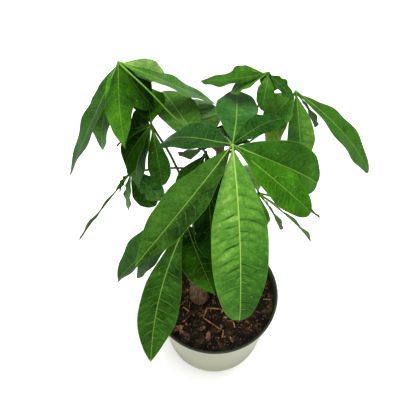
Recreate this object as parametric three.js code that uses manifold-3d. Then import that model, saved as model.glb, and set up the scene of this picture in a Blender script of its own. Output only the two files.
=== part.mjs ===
// A potted money tree: two young trunks in one nursery pot, each leaf an umbrella of leaflets.
// Millimetres, +Z up. The origin is the centre of the pot's foot, on the surface it stands on.
// +X is to the right and +Y to the back as the plant is seen from its front.

import * as THREE from "three";
import { mergeVertices } from "three/addons/utils/BufferGeometryUtils.js";
import Module from "manifold-3d";

const wasm = await Module();
wasm.setup();

// ---- Driving dimensions ----

const GAP = 0.3; // clearance between touching pieces

const POT = {
  height: 95,
  footRadius: 47,
  bodyTopRadius: 58.8,
  rimRadius: 60,
  rimThickness: 1.8,
  wall: 1.0,
  padRadius: 13,
  footRingInner: 36,
  footRecess: 2.5,
  footBevel: 1,
  ringSlope: 1.5,
  rimBevel: 0.5,
  drainRadius: 3.5,
  drainCircle: 25,
  drainCount: 6,
  drainSides: 8,
  segments: 36,
};

const SOIL = { top: 88, levelEdge: 1, rings: 3, seed: 7 };
// The clods on the soil: a long and a short wave, each with its height and its lengths.
const CLODS = { longHeight: 0.8, longX: 6.1, longY: 7.3, shortHeight: 0.45, shortX: 2.9, shortY: 3.7 };

// The trunks' radius at heights above the soil, then each one's centreline from its root end up.
const TRUNK_GIRTH = [
  [-28, 5.5],
  [-12, 8.2],
  [0, 9.2],
  [8, 9.0],
  [22, 7.6],
  [42, 5.9],
  [75, 4.8],
  [130, 4.2],
  [245, 3.2],
];
const TRUNKS = {
  trunk_left: {
    line: [[-15, 0, 60], [-15, 0, 92], [-17, 2, 160], [-15, 7, 250], [-14, 10, 284]],
    girth: 1.0,
    sides: 12,
    steps: 18,
  },
  trunk_right: {
    line: [[12, 5, 60], [12, 5, 92], [9, 10, 170], [3, 22, 270], [1, 31, 322]],
    girth: 0.92,
    sides: 12,
    steps: 20,
  },
};
const TRUNK_ENDS = { tip: 0.55, foot: 0.6 }; // share of the radius left at each rounded end
const TRUNK_SAMPLES = 200;

// Petioles: a round stalk, thickest where it leaves the trunk and at its joint with the leaflets.
const PETIOLE = {
  foot: 2.0,
  shaft: 1.05,
  joint: 1.4,
  footLength: 0.08,
  jointLength: 0.07,
  sides: 6,
  stepLength: 13,
  minSteps: 6,
};
const HUB = { radius: 2.4, flatness: 0.8 };

// Leaflets: thin blades on a stout midrib. start is where a blade leaves its hub's centre;
// rootReach and rollOut are the shares of the length in which it thins and takes its roll.
const BLADE = {
  thickness: 0.8,
  rootThickness: 2.4,
  rootReach: 0.12,
  ridge: 0.7,
  minHalfWidth: 0.7,
  rollOut: 0.25,
  start: 1.8,
  earlyDroop: 0.4,
  walkSteps: 40,
};
const EDGE_WAVE = { height: 0.9, count: 3.2, phaseStep: 0.37 };
const STATIONS = [0, 0.05, 0.175, 0.35, 0.55, 0.75, 0.9, 1];
const CROSS = [-1, -0.5, 0, 0.5, 1];
const ROOT_POWER = 0.9; // how a leaflet's outline opens from its root

// Leaflets leave their hub at a compass turn (0 = +X, 90 = +Y) and a pitch above level, and droop
// by the bend before the tip. sway turns the tip sideways, roll tips the blade over its midrib,
// and fold raises both halves from it. Degrees and millimetres. Above 1, skew moves the widest
// place past the middle, and the smaller tipPower is, the blunter the tip.
const LEAFLET_KEYS = [
  "turn", "pitch", "bend", "length", "width", "roll", "sway", "fold", "skew", "tipPower",
];
const LEAVES = {
  leaf_front: {
    trunk: "trunk_right",
    foot: 316,
    via: [[6, 12, 339]],
    hub: [9, -1, 350],
    leaflets: [
      [-82, -28, 45, 130, 41, -10, -8, 2, 1.1, 0.45],
      [-125, -9, 12, 102, 35, 18, -8, 12, 1.11, 0.89],
      [145, -28, 36, 88, 32, 5, -7, 8, 1.03, 0.78],
      [82, -24, 7, 83, 31, 2, 9, 6, 1.26, 0.77],
      [53, -17, 25, 64, 18, 0, -12, 9, 1.08, 0.84],
      [1, -35, 18, 86, 40, 38, 9, 22, 1.19, 0.61],
      [-24, -35, 17, 81, 27, 10, 8, 2, 1.5, 0.5],
    ],
  },
  leaf_left_high: {
    trunk: "trunk_right",
    foot: 298,
    via: [[-31, 51, 306], [-50, 61, 326]],
    hub: [-73, 77, 340],
    leaflets: [
      [-125, -45, 22, 107, 38, 37, -21, 8, 1.13, 0.78],
      [-130, -60, 29, 89, 28, 9, -7, 19, 1.17, 0.81],
      [-98, -55, 6, 67, 25, -35, 23, 2, 0.85, 0.98],
      [24, -40, 14, 48, 17, 45, 6, 12, 1.3, 0.6],
      [6, -40, 10, 100, 26, -17, 14, 8, 1.22, 0.71],
      [8, -60, 8, 45, 26, 32, 0, 4, 1.15, 0.55],
      [-22, -62, 0, 50, 24, 10, 7, 2, 1.28, 0.83],
    ],
  },
  leaf_back: {
    trunk: "trunk_right",
    foot: 311,
    via: [[22, 43, 308], [31, 60, 317]],
    hub: [35, 60, 350],
    leaflets: [
      [165, -34, 0, 62, 22, 15, -18, 6, 1.13, 0.85],
      [143, -39, 14, 53, 15, -35, -13, 10, 1.4, 0.77],
      [174, -39, 18, 36, 21, 6, -8, 9, 1.21, 0.78],
      [-100, -58, 8, 24, 13, -15, -10, 12, 1, 0.85],
      [-22, -42, 10, 28, 16, -10, 10, 8, 1.1, 0.8],
      [-95, -76, 12, 36, 14, 0, 0, 10, 1.2, 0.8],
      [72, -66, 14, 38, 18, 0, 0, 12, 1.27, 0.8],
    ],
  },
  leaf_right_high: {
    trunk: "trunk_right",
    foot: 294,
    via: [[20, 39, 290], [43, 56, 296]],
    hub: [57, 63, 325],
    leaflets: [
      [-3, -44, 17, 109, 33, -11, -22, 5, 1.33, 0.61],
      [-61, -69, 12, 76, 23, 13, -2, 13, 1.16, 0.72],
      [-146, -39, 15, 36, 31, 12, -1, 2, 1.02, 0.79],
      [21, -62, 16, 59, 17, -13, -1, 8, 1.25, 0.79],
      [-143, -64, 14, 60, 19, 0, 0, 12, 1.27, 0.8],
    ],
  },
  leaf_left_middle: {
    trunk: "trunk_left",
    foot: 266,
    via: [[-26, 21, 268], [-38, 44, 272]],
    hub: [-51, 56, 291],
    leaflets: [
      [-152, -46, 40, 52, 38, 9, -3, 9, 1.29, 0.8],
      [-142, -64, 31, 78, 30, 2, -7, 18, 0.95, 0.75],
      [158, -37, 38, 40, 38, 3, 7, 14, 1.07, 0.77],
      [-72, -62, 29, 63, 19, 15, 2, 17, 1.31, 0.8],
      [98, -5, 12, 41, 27, 0, 0, 8, 1.2, 0.8],
    ],
  },
  leaf_front_low: {
    trunk: "trunk_left",
    foot: 205,
    via: [[-22, -4, 224]],
    hub: [-24, -3, 240],
    leaflets: [
      [-121, -30, 15, 116, 36, -30, 28, 17, 1.32, 0.9],
      [-62, -53, 8, 71, 32, 14, 13, 3, 0.93, 0.9],
      [-164, -39, 22, 91, 38, 17, 3, 25, 0.99, 0.62],
      [-162, -49, 20, 83, 24, 10, 1, 13, 1.28, 0.8],
      [-22, -44, 24, 72, 28, 0, 0, 12, 1.27, 0.8],
    ],
  },
  leaf_right_low: {
    trunk: "trunk_right",
    foot: 205,
    via: [[19, 9, 226]],
    hub: [33, 20, 250],
    leaflets: [
      [-6, -64, 15, 62, 18, -34, 6, 10, 1.27, 0.8],
      [-10, -47, 20, 84, 19, -48, 3, 10, 1.27, 0.8],
      [11, -36, 22, 78, 17, -47, -6, 10, 1.27, 0.8],
      [95, -25, 28, 58, 24, 0, 0, 12, 1.27, 0.8],
      [-75, -72, 24, 52, 18, 0, 0, 14, 1.27, 0.8],
    ],
  },
  leaf_left_low: {
    trunk: "trunk_right",
    foot: 254,
    via: [[-9, 33, 256], [-25, 47, 243], [-52, 56, 227]],
    hub: [-73, 57, 220],
    leaflets: [
      [-40, -42, 20, 38, 27, 4, 7, 9, 1.05, 0.74],
      [-25, -33, 18, 37, 21, 40, 0, 12, 1.06, 0.68],
      [-105, -61, 23, 42, 14, 45, -4, 9, 1.32, 0.81],
      [-132, -26, 29, 77, 20, 66, -14, 5, 1.27, 0.8],
      [-152, -55, 17, 24, 12, 30, 0, 14, 1.28, 0.8],
    ],
  },
  leaf_crown: {
    trunk: "trunk_left",
    foot: 279,
    via: [[-12, 12, 303]],
    hub: [-9, 14, 318],
    leaflets: [
      [-83, -52, 24, 94, 32, -18, 0, 14, 1.27, 0.8],
      [-131, -50, 27, 46, 24, 0, 0, 14, 1.27, 0.8],
      [-49, -53, 25, 73, 28, 0, 3, 14, 1.27, 0.8],
    ],
  },
  leaf_back_low: {
    trunk: "trunk_right",
    foot: 268,
    via: [[-6, 31, 282]],
    hub: [-11, 35, 290],
    leaflets: [
      [98, -17, 17, 75, 37, 6, -8, 6, 1.27, 0.8],
      [112, -54, 24, 60, 26, 0, 0, 14, 1.27, 0.8],
      [115, -12, 14, 84, 32, 0, 0, 6, 1.3, 0.7],
      [50, -30, 26, 66, 28, 0, 0, 14, 1.27, 0.8],
    ],
  },
};

// Bark chips on the soil: centre, long half-size and turn, then some scattered round the edge.
const CHIPS = [
  { at: [-35, -33], size: 6, turn: 10 },
  { at: [-29, -38], size: 5, turn: -20 },
  { at: [-6, -41], size: 5, turn: 80 },
  { at: [-12, -33], size: 4, turn: 30 },
  { at: [16, -44], size: 3.5, turn: 120 },
  { at: [-20, -19], size: 2.5, turn: 60 },
];
const CHIP_SHAPE = { minBreadth: 0.45, breadthSpread: 0.25, flatness: 0.42, tilt: 0.5, lift: 0.4 };
const CHIP_SCATTER = {
  count: 9,
  angleSpread: 0.6,
  innerRadius: 28,
  outerRadius: 48,
  minSize: 2.6,
  maxSize: 5,
  seed: 31,
};
// Fibre strips lying in the soil: their ends and half-width.
const STRIP = { height: 3.6, lift: 0.1 };
const STRIPS = [
  { from: [-7, -13], to: [-11, -23], half: 1.0 },
  { from: [-11, -23], to: [6, -35], half: 1.2 },
  { from: [-7, -13], to: [6, -14], half: 0.8 },
  { from: [8, -35], to: [7, -43], half: 0.8 },
  { from: [46, -4], to: [54, -4], half: 0.8 },
  { from: [-30, -12], to: [-24, -17], half: 0.7 },
  { from: [17, -26], to: [19, -33], half: 0.7 },
];

const FINISHES = {
  pot: { color: 0xc9cdbd, roughness: 0.45 },
  soil: { color: 0x2b1d12, roughness: 0.95 },
  trunk: { color: 0x6d5d4c, roughness: 0.8 },
  leaf: { color: 0x3f8a24, roughness: 0.45 },
};

// ---- Solids ----

const WELD = 1e-4;
const SMALLEST_DETAIL = 0.08;

function solid(geometry) {
  const bare = geometry.clone();
  for (const name of Object.keys(bare.attributes)) {
    if (name !== "position") bare.deleteAttribute(name);
  }
  const merged = mergeVertices(bare, WELD);
  const corners = merged.index.array;
  const triangles = [];
  for (let i = 0; i < corners.length; i += 3) {
    const [a, b, c] = [corners[i], corners[i + 1], corners[i + 2]];
    if (a !== b && b !== c && c !== a) triangles.push(a, b, c);
  }
  return new wasm.Manifold(new wasm.Mesh({
    numProp: 3,
    vertProperties: new Float32Array(merged.attributes.position.array),
    triVerts: new Uint32Array(triangles),
  }));
}

function geometryOf(body) {
  const mesh = body.getMesh();
  const geometry = new THREE.BufferGeometry();
  geometry.setAttribute("position", new THREE.BufferAttribute(new Float32Array(mesh.vertProperties), 3));
  geometry.setIndex(new THREE.BufferAttribute(new Uint32Array(mesh.triVerts), 1));
  geometry.computeVertexNormals();
  return geometry;
}

function join(bodies) {
  return bodies.reduce((whole, body) => whole.add(body));
}

// The largest closed surface of a body, without the sealed bubbles that crossing blades enclose.
function outerBody(body) {
  const shells = body.decompose();
  return shells.reduce((largest, shell) => (shell.volume() > largest.volume() ? shell : largest));
}

function namedMesh(name, body, finish) {
  const material = new THREE.MeshStandardMaterial({ ...finish, metalness: 0 });
  const mesh = new THREE.Mesh(geometryOf(body), material);
  mesh.name = name;
  return mesh;
}

// A repeatable draw of numbers between 0 and 1.
function drawFrom(seed) {
  const [factor, step, range] = [1664525, 1013904223, 2 ** 32];
  let state = seed;
  return () => {
    state = (state * factor + step) % range;
    return state / range;
  };
}

function vectors(list) {
  return list.map((point) => new THREE.Vector3(...point));
}

// Straight-line reading of a list of [input, value] pairs.
function readTable(table, input) {
  const last = table.length - 1;
  if (input <= table[0][0]) return table[0][1];
  if (input >= table[last][0]) return table[last][1];
  const above = table.findIndex(([mark]) => mark > input);
  const [x0, y0] = table[above - 1];
  const [x1, y1] = table[above];
  return y0 + (y1 - y0) * (input - x0) / (x1 - x0);
}

// A profile of [radius, height] points turned round the Z axis.
function turned(profile, segments) {
  const points = profile.map(([radius, height]) => new THREE.Vector2(radius, height));
  return new THREE.LatheGeometry(points, segments).rotateX(Math.PI / 2);
}

// A closed round stalk along a curve, with its radius given at each fraction of the length.
function stalk(curve, radiusAt, sides, steps) {
  const profile = [new THREE.Vector2(0, 0)];
  for (let i = 0; i <= steps; i += 1) profile.push(new THREE.Vector2(radiusAt(i / steps), i / steps));
  profile.push(new THREE.Vector2(0, 1));
  const geometry = new THREE.LatheGeometry(profile, sides);
  const frames = curve.computeFrenetFrames(steps, false);
  const place = geometry.attributes.position;
  for (let i = 0; i < place.count; i += 1) {
    const step = Math.round(place.getY(i) * steps);
    const point = curve.getPointAt(step / steps)
      .addScaledVector(frames.binormals[step], place.getX(i))
      .addScaledVector(frames.normals[step], place.getZ(i));
    place.setXYZ(i, point.x, point.y, point.z);
  }
  return solid(geometry);
}

// ---- Pot ----

function potRadius(height) {
  return POT.footRadius + (POT.bodyTopRadius - POT.footRadius) * height / POT.height;
}

function makePot() {
  const floor = POT.footRecess + POT.wall;
  const lip = POT.height - POT.rimThickness;
  const profile = [
    [0, 0],
    [POT.padRadius, 0],
    [POT.padRadius + POT.ringSlope, POT.footRecess],
    [POT.footRingInner - POT.ringSlope, POT.footRecess],
    [POT.footRingInner, 0],
    [POT.footRadius - POT.footBevel, 0],
    [POT.footRadius, POT.footBevel],
    [potRadius(lip), lip],
    [POT.rimRadius - POT.rimBevel, lip],
    [POT.rimRadius, lip + POT.rimBevel],
    [POT.rimRadius, POT.height - POT.rimBevel],
    [POT.rimRadius - POT.rimBevel, POT.height],
    [potRadius(POT.height) - POT.wall + POT.rimBevel, POT.height],
    [potRadius(POT.height) - POT.wall, POT.height - POT.rimBevel],
    [potRadius(floor) - POT.wall, floor],
    [0, floor],
  ];
  let pot = solid(turned(profile, POT.segments));
  for (let i = 0; i < POT.drainCount; i += 1) {
    const angle = 2 * Math.PI * i / POT.drainCount;
    const { drainRadius, drainSides } = POT;
    const drill = new THREE.CylinderGeometry(drainRadius, drainRadius, 3 * floor, drainSides);
    drill.rotateX(Math.PI / 2);
    drill.translate(POT.drainCircle * Math.cos(angle), POT.drainCircle * Math.sin(angle), floor);
    pot = pot.subtract(solid(drill));
  }
  return pot;
}

// ---- Soil ----

function soilRadius(height) {
  return potRadius(height) - POT.wall - GAP;
}

function makeSoilBody() {
  const bottom = POT.footRecess + POT.wall + GAP;
  const profile = [[0, bottom], [soilRadius(bottom), bottom]];
  for (let ring = 0; ring <= SOIL.rings; ring += 1) {
    profile.push([soilRadius(SOIL.top) * (1 - ring / SOIL.rings), SOIL.top]);
  }
  const geometry = turned(profile, POT.segments);
  const place = geometry.attributes.position;
  for (let i = 0; i < place.count; i += 1) {
    const [x, y, z] = [place.getX(i), place.getY(i), place.getZ(i)];
    const inside = Math.hypot(x, y) < soilRadius(SOIL.top) - SOIL.levelEdge;
    if (z > bottom + GAP && inside) place.setZ(i, z + soilRelief(x, y));
  }
  return solid(geometry);
}

function soilRelief(x, y) {
  const long = Math.sin(x / CLODS.longX) * Math.cos(y / CLODS.longY);
  const short = Math.sin(x / CLODS.shortX - y / CLODS.shortY);
  return CLODS.longHeight * long + CLODS.shortHeight * short;
}

function makeChip({ at, size, turn }, draw) {
  const chip = new THREE.IcosahedronGeometry(size, 0);
  chip.scale(1, CHIP_SHAPE.minBreadth + CHIP_SHAPE.breadthSpread * draw(), CHIP_SHAPE.flatness);
  chip.rotateX(CHIP_SHAPE.tilt * (draw() - 0.5));
  chip.rotateZ(THREE.MathUtils.degToRad(turn));
  chip.translate(at[0], at[1], SOIL.top + soilRelief(...at) + CHIP_SHAPE.lift);
  return solid(chip);
}

function makeStrip({ from, to, half }) {
  const run = new THREE.Vector2(to[0] - from[0], to[1] - from[1]);
  const strip = new THREE.BoxGeometry(run.length() + half, 2 * half, STRIP.height);
  strip.rotateZ(run.angle());
  strip.translate((from[0] + to[0]) / 2, (from[1] + to[1]) / 2, SOIL.top + STRIP.lift);
  return solid(strip);
}

function scatteredChips() {
  const draw = drawFrom(CHIP_SCATTER.seed);
  const { count, angleSpread, innerRadius, outerRadius, minSize, maxSize } = CHIP_SCATTER;
  const chips = [];
  for (let i = 0; i < count; i += 1) {
    const angle = 2 * Math.PI * (i + angleSpread * draw()) / count;
    const reach = innerRadius + (outerRadius - innerRadius) * Math.sqrt(draw());
    chips.push({
      at: [reach * Math.cos(angle), reach * Math.sin(angle)],
      size: minSize + (maxSize - minSize) * draw(),
      turn: 360 * draw(),
    });
  }
  return chips;
}

function makeSoil() {
  const draw = drawFrom(SOIL.seed);
  const chips = [...CHIPS, ...scatteredChips()].map((chip) => makeChip(chip, draw));
  let soil = join([makeSoilBody(), ...chips, ...STRIPS.map(makeStrip)]);
  for (const name of Object.keys(TRUNKS)) soil = soil.subtract(makeTrunk(name, GAP));
  return soil;
}

// ---- Trunks ----

// The trunk's solid, or with a margin, the space it takes out of its neighbours.
function makeTrunk(name, margin = 0) {
  const { line, girth, sides, steps } = TRUNKS[name];
  const curve = new THREE.CatmullRomCurve3(vectors(line));
  const radiusAt = (part) => {
    const height = curve.getPointAt(part).z - SOIL.top;
    const tipCap = Math.min(1, TRUNK_ENDS.tip + (1 - TRUNK_ENDS.tip) * (1 - part) * steps);
    const footCap = Math.min(1, TRUNK_ENDS.foot + (1 - TRUNK_ENDS.foot) * part * steps);
    return girth * readTable(TRUNK_GIRTH, height) * tipCap * footCap + margin;
  };
  if (margin === 0) return stalk(curve, radiusAt, sides, steps);
  const start = new THREE.Vector3(0, 0, -margin).add(curve.getPointAt(0));
  const end = curve.getTangentAt(1).multiplyScalar(margin).add(curve.getPointAt(1));
  const longer = new THREE.CatmullRomCurve3([start, ...curve.points.slice(1, -1), end]);
  return stalk(longer, radiusAt, sides, steps);
}

// ---- Leaves ----

function outline({ skew, tipPower }, s) {
  return Math.sin(Math.PI * s ** skew) ** (ROOT_POWER + (tipPower - ROOT_POWER) * s);
}

// The way a leaflet runs, and level across it, at a share s of its length.
function heading(leaflet, s) {
  const droop = BLADE.earlyDroop * s + (1 - BLADE.earlyDroop) * s * s;
  const pitch = THREE.MathUtils.degToRad(leaflet.pitch - leaflet.bend * droop);
  const turn = THREE.MathUtils.degToRad(leaflet.turn + leaflet.sway * s);
  const along = new THREE.Vector3(
    Math.cos(pitch) * Math.cos(turn),
    Math.cos(pitch) * Math.sin(turn),
    Math.sin(pitch),
  );
  const across = new THREE.Vector3(-Math.sin(turn), Math.cos(turn), 0);
  return { along, across };
}

// Points down the midrib at the stations, found by walking along it in short steps.
function midrib(hub, leaflet) {
  const { walkSteps } = BLADE;
  const point = new THREE.Vector3(...hub).addScaledVector(heading(leaflet, 0).along, BLADE.start);
  const points = [point.clone()];
  for (let i = 0; i < walkSteps; i += 1) {
    const { along } = heading(leaflet, (i + 0.5) / walkSteps);
    point.addScaledVector(along, leaflet.length / walkSteps);
    points.push(point.clone());
  }
  return STATIONS.map((s) => points[Math.round(s * walkSteps)]);
}

// Two skins of the same triangles, a blade's thickness apart, closed round the edge.
function makeLeaflet(hub, leaflet, wavePhase) {
  const spine = midrib(hub, leaflet);
  const skin = [];
  const fold = THREE.MathUtils.degToRad(leaflet.fold);
  STATIONS.forEach((s, row) => {
    const { along, across } = heading(leaflet, s);
    const roll = THREE.MathUtils.degToRad(leaflet.roll * Math.min(1, s / BLADE.rollOut));
    const side = across.clone().applyAxisAngle(along, roll);
    const up = along.clone().cross(side);
    const fullness = outline(leaflet, s);
    const half = Math.max(BLADE.minHalfWidth, leaflet.width / 2 * fullness);
    const wave = EDGE_WAVE.height * Math.sin(2 * Math.PI * (EDGE_WAVE.count * s + wavePhase));
    const rootBulk = Math.max(0, 1 - s / BLADE.rootReach) * (BLADE.rootThickness - BLADE.thickness);
    for (const u of CROSS) {
      const lift = Math.abs(u) * half * Math.sin(fold) + u * u * Math.sign(u) * wave * fullness;
      const centre = spine[row].clone()
        .addScaledVector(side, u * half * Math.cos(fold))
        .addScaledVector(up, lift);
      const ridge = u === 0 ? BLADE.ridge * (1 - s) : 0;
      skin.push({
        top: centre.clone().addScaledVector(up, (BLADE.thickness + rootBulk) / 2),
        under: centre.clone().addScaledVector(up, -(BLADE.thickness + rootBulk) / 2 - ridge),
      });
    }
  });
  return solid(closedSkin(skin, STATIONS.length, CROSS.length));
}

function closedSkin(skin, rows, columns) {
  const positions = [...skin.map(({ top }) => top), ...skin.map(({ under }) => under)];
  const topAt = (row, column) => row * columns + column;
  const underAt = (row, column) => rows * columns + topAt(row, column);
  const faces = [];
  const quad = (a, b, c, d) => faces.push(a, b, c, a, c, d);
  for (let row = 0; row + 1 < rows; row += 1) {
    for (let column = 0; column + 1 < columns; column += 1) {
      const [a, b] = [[row, column], [row + 1, column]];
      const [c, d] = [[row + 1, column + 1], [row, column + 1]];
      quad(topAt(...a), topAt(...b), topAt(...c), topAt(...d));
      faces.push(underAt(...a), underAt(...c), underAt(...b));
      faces.push(underAt(...a), underAt(...d), underAt(...c));
    }
    const edge = columns - 1;
    quad(topAt(row, 0), underAt(row, 0), underAt(row + 1, 0), topAt(row + 1, 0));
    quad(topAt(row + 1, edge), underAt(row + 1, edge), underAt(row, edge), topAt(row, edge));
  }
  for (let column = 0; column + 1 < columns; column += 1) {
    const end = rows - 1;
    quad(topAt(0, column), topAt(0, column + 1), underAt(0, column + 1), underAt(0, column));
    quad(underAt(end, column), underAt(end, column + 1), topAt(end, column + 1), topAt(end, column));
  }
  const geometry = new THREE.BufferGeometry();
  const flat = positions.flatMap((point) => point.toArray());
  geometry.setAttribute("position", new THREE.BufferAttribute(new Float32Array(flat), 3));
  geometry.setIndex(faces);
  return geometry;
}

function trunkPointAt(name, height) {
  const curve = new THREE.CatmullRomCurve3(vectors(TRUNKS[name].line));
  const samples = curve.getSpacedPoints(TRUNK_SAMPLES);
  return samples.reduce((best, point) => (
    Math.abs(point.z - height) < Math.abs(best.z - height) ? point : best
  ));
}

function petioleRadius(part) {
  const { foot, shaft, joint, footLength, jointLength } = PETIOLE;
  return shaft
    + (foot - shaft) * Math.max(0, 1 - part / (2 * footLength))
    + (joint - shaft) * Math.max(0, (part - 1 + 2 * jointLength) / (2 * jointLength));
}

function makeLeaf({ trunk, foot, via, hub, leaflets }) {
  const route = new THREE.CatmullRomCurve3([trunkPointAt(trunk, foot), ...vectors([...via, hub])]);
  const steps = Math.max(PETIOLE.minSteps, Math.round(route.getLength() / PETIOLE.stepLength));
  const petiole = stalk(route, petioleRadius, PETIOLE.sides, steps);
  const knob = new THREE.IcosahedronGeometry(HUB.radius, 0);
  knob.scale(1, 1, HUB.flatness);
  knob.translate(...hub);
  const blades = leaflets.map((row, i) => {
    const leaflet = Object.fromEntries(LEAFLET_KEYS.map((key, column) => [key, row[column]]));
    return makeLeaflet(hub, leaflet, i * EDGE_WAVE.phaseStep);
  });
  const leaf = join([petiole, solid(knob), ...blades]).subtract(makeTrunk(trunk, GAP));
  return outerBody(leaf.simplify(SMALLEST_DETAIL));
}

// ---- The plant ----

const plant = new THREE.Group();
plant.add(namedMesh("pot", makePot(), FINISHES.pot));
plant.add(namedMesh("soil", makeSoil(), FINISHES.soil));
for (const name of Object.keys(TRUNKS)) {
  plant.add(namedMesh(name, makeTrunk(name), FINISHES.trunk));
}
for (const [name, leaf] of Object.entries(LEAVES)) {
  plant.add(namedMesh(name, makeLeaf(leaf), FINISHES.leaf));
}

export default plant;
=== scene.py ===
"""A young money tree in its nursery pot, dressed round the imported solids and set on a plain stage.

Metres, +Z up, in the row's own frame. Tables are in millimetres and degrees, as a grower would
measure them, and MM turns them to metres.
"""

import math
import random
from functools import partial, reduce

import bmesh
import bpy
import numpy as np
from bpy.props import FloatProperty, FloatVectorProperty, IntProperty, PointerProperty
from mathutils import Matrix, Vector


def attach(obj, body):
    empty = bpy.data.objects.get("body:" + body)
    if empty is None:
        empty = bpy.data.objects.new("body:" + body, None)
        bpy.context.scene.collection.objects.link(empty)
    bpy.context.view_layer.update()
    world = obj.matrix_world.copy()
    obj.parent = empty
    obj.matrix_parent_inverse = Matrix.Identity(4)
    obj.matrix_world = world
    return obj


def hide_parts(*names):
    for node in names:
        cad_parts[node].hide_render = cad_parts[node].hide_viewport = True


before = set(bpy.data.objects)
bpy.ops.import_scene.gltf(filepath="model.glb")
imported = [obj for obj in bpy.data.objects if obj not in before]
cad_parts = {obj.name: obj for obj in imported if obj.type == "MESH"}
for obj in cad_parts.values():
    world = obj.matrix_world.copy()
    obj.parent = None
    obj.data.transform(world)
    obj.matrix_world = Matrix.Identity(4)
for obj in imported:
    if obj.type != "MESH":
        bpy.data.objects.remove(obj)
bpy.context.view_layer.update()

bl_info = {
    "name": "Potted money tree",
    "version": (1, 0, 0),
    "blender": (4, 5, 0),
    "location": "3D View > Sidebar > Money tree",
    "description": "Builds a young potted money tree from its pot, soil, trunks and leaves",
    "category": "Add Mesh",
}

MM = 0.001

# ---- The plant's measures, shared with the solids ----

POT = {
    "height": 95, "foot": 47, "body_top": 58.8, "rim": 60, "rim_thickness": 1.8, "wall": 1.0,
    "pad": 13, "ring_inner": 36, "recess": 2.5, "drain": 3.5, "drain_circle": 25, "drains": 6,
}
SOIL_TOP = 88
CLODS = {"long_height": 0.8, "long_x": 6.1, "long_y": 7.3,
         "short_height": 0.45, "short_x": 2.9, "short_y": 3.7}

# Radius of a trunk at heights above the soil.
TRUNK_GIRTH = [(-28, 5.5), (-12, 8.2), (0, 9.2), (8, 9.0), (22, 7.6), (42, 5.9), (75, 4.8),
               (130, 4.2), (245, 3.2)]
TRUNKS = {
    "trunk_left": {
        "line": [(-15, 0, 60), (-15, 0, 92), (-17, 2, 160), (-15, 7, 250), (-14, 10, 284)],
        "girth": 1.0, "seed": 4,
    },
    "trunk_right": {
        "line": [(12, 5, 60), (12, 5, 92), (9, 10, 170), (3, 22, 270), (1, 31, 322)],
        "girth": 0.92, "seed": 9,
    },
}

# Leaf scars up a trunk, from a height above the soil: each has a ridge and a dark line under it.
SCARS = {"from": 70, "apart": (7, 17), "ridge": 0.3, "ridge_width": 1.1, "line_width": 0.6,
         "line_below": 1.0, "line_depth": 0.7}

# Stalks are drawn finer than their solids.
PETIOLE = {"foot": 1.8, "shaft": 0.65, "joint": 0.9, "foot_length": 0.08, "joint_length": 0.07}
# The knob that closes a stalk over its hub: distance past the stalk's end, and radius.
KNOB = [(0, 1.25), (0.4, 1.4), (0.8, 1.3), (1.1, 1.0), (1.3, 0.55), (1.35, 0.15)]
# A leaflet's blade starts this far from its hub, and its root is set back from there, in the knob.
BLADE_START, ROOTED = 1.8, 1.3
# Its outline is a sine raised to this power at its root, and to its tip power at its tip.
ROOT_POWER = 0.9
# Its least half-widths in the knob, at its root and at its tip, and the half-thickness of its
# stalked root, which thins at this rate per length.
ENDS = {"in_knob": 0.6, "root": 0.95, "tip": 0.12, "root_thick": 1.15, "root_thins": 6.5}
# Length times width of the smallest leaflet with a full-size midrib.
MIDRIB_AREA = 4400
# Its margin waves so many times along it, and each leaflet starts at another phase.
EDGE_WAVE = {"height": 0.9, "count": 3.2, "phase_step": 0.37}
# How far it swells between its veins where its row doesn't say.
PLAIN_RIBBING = 0.3

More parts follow.
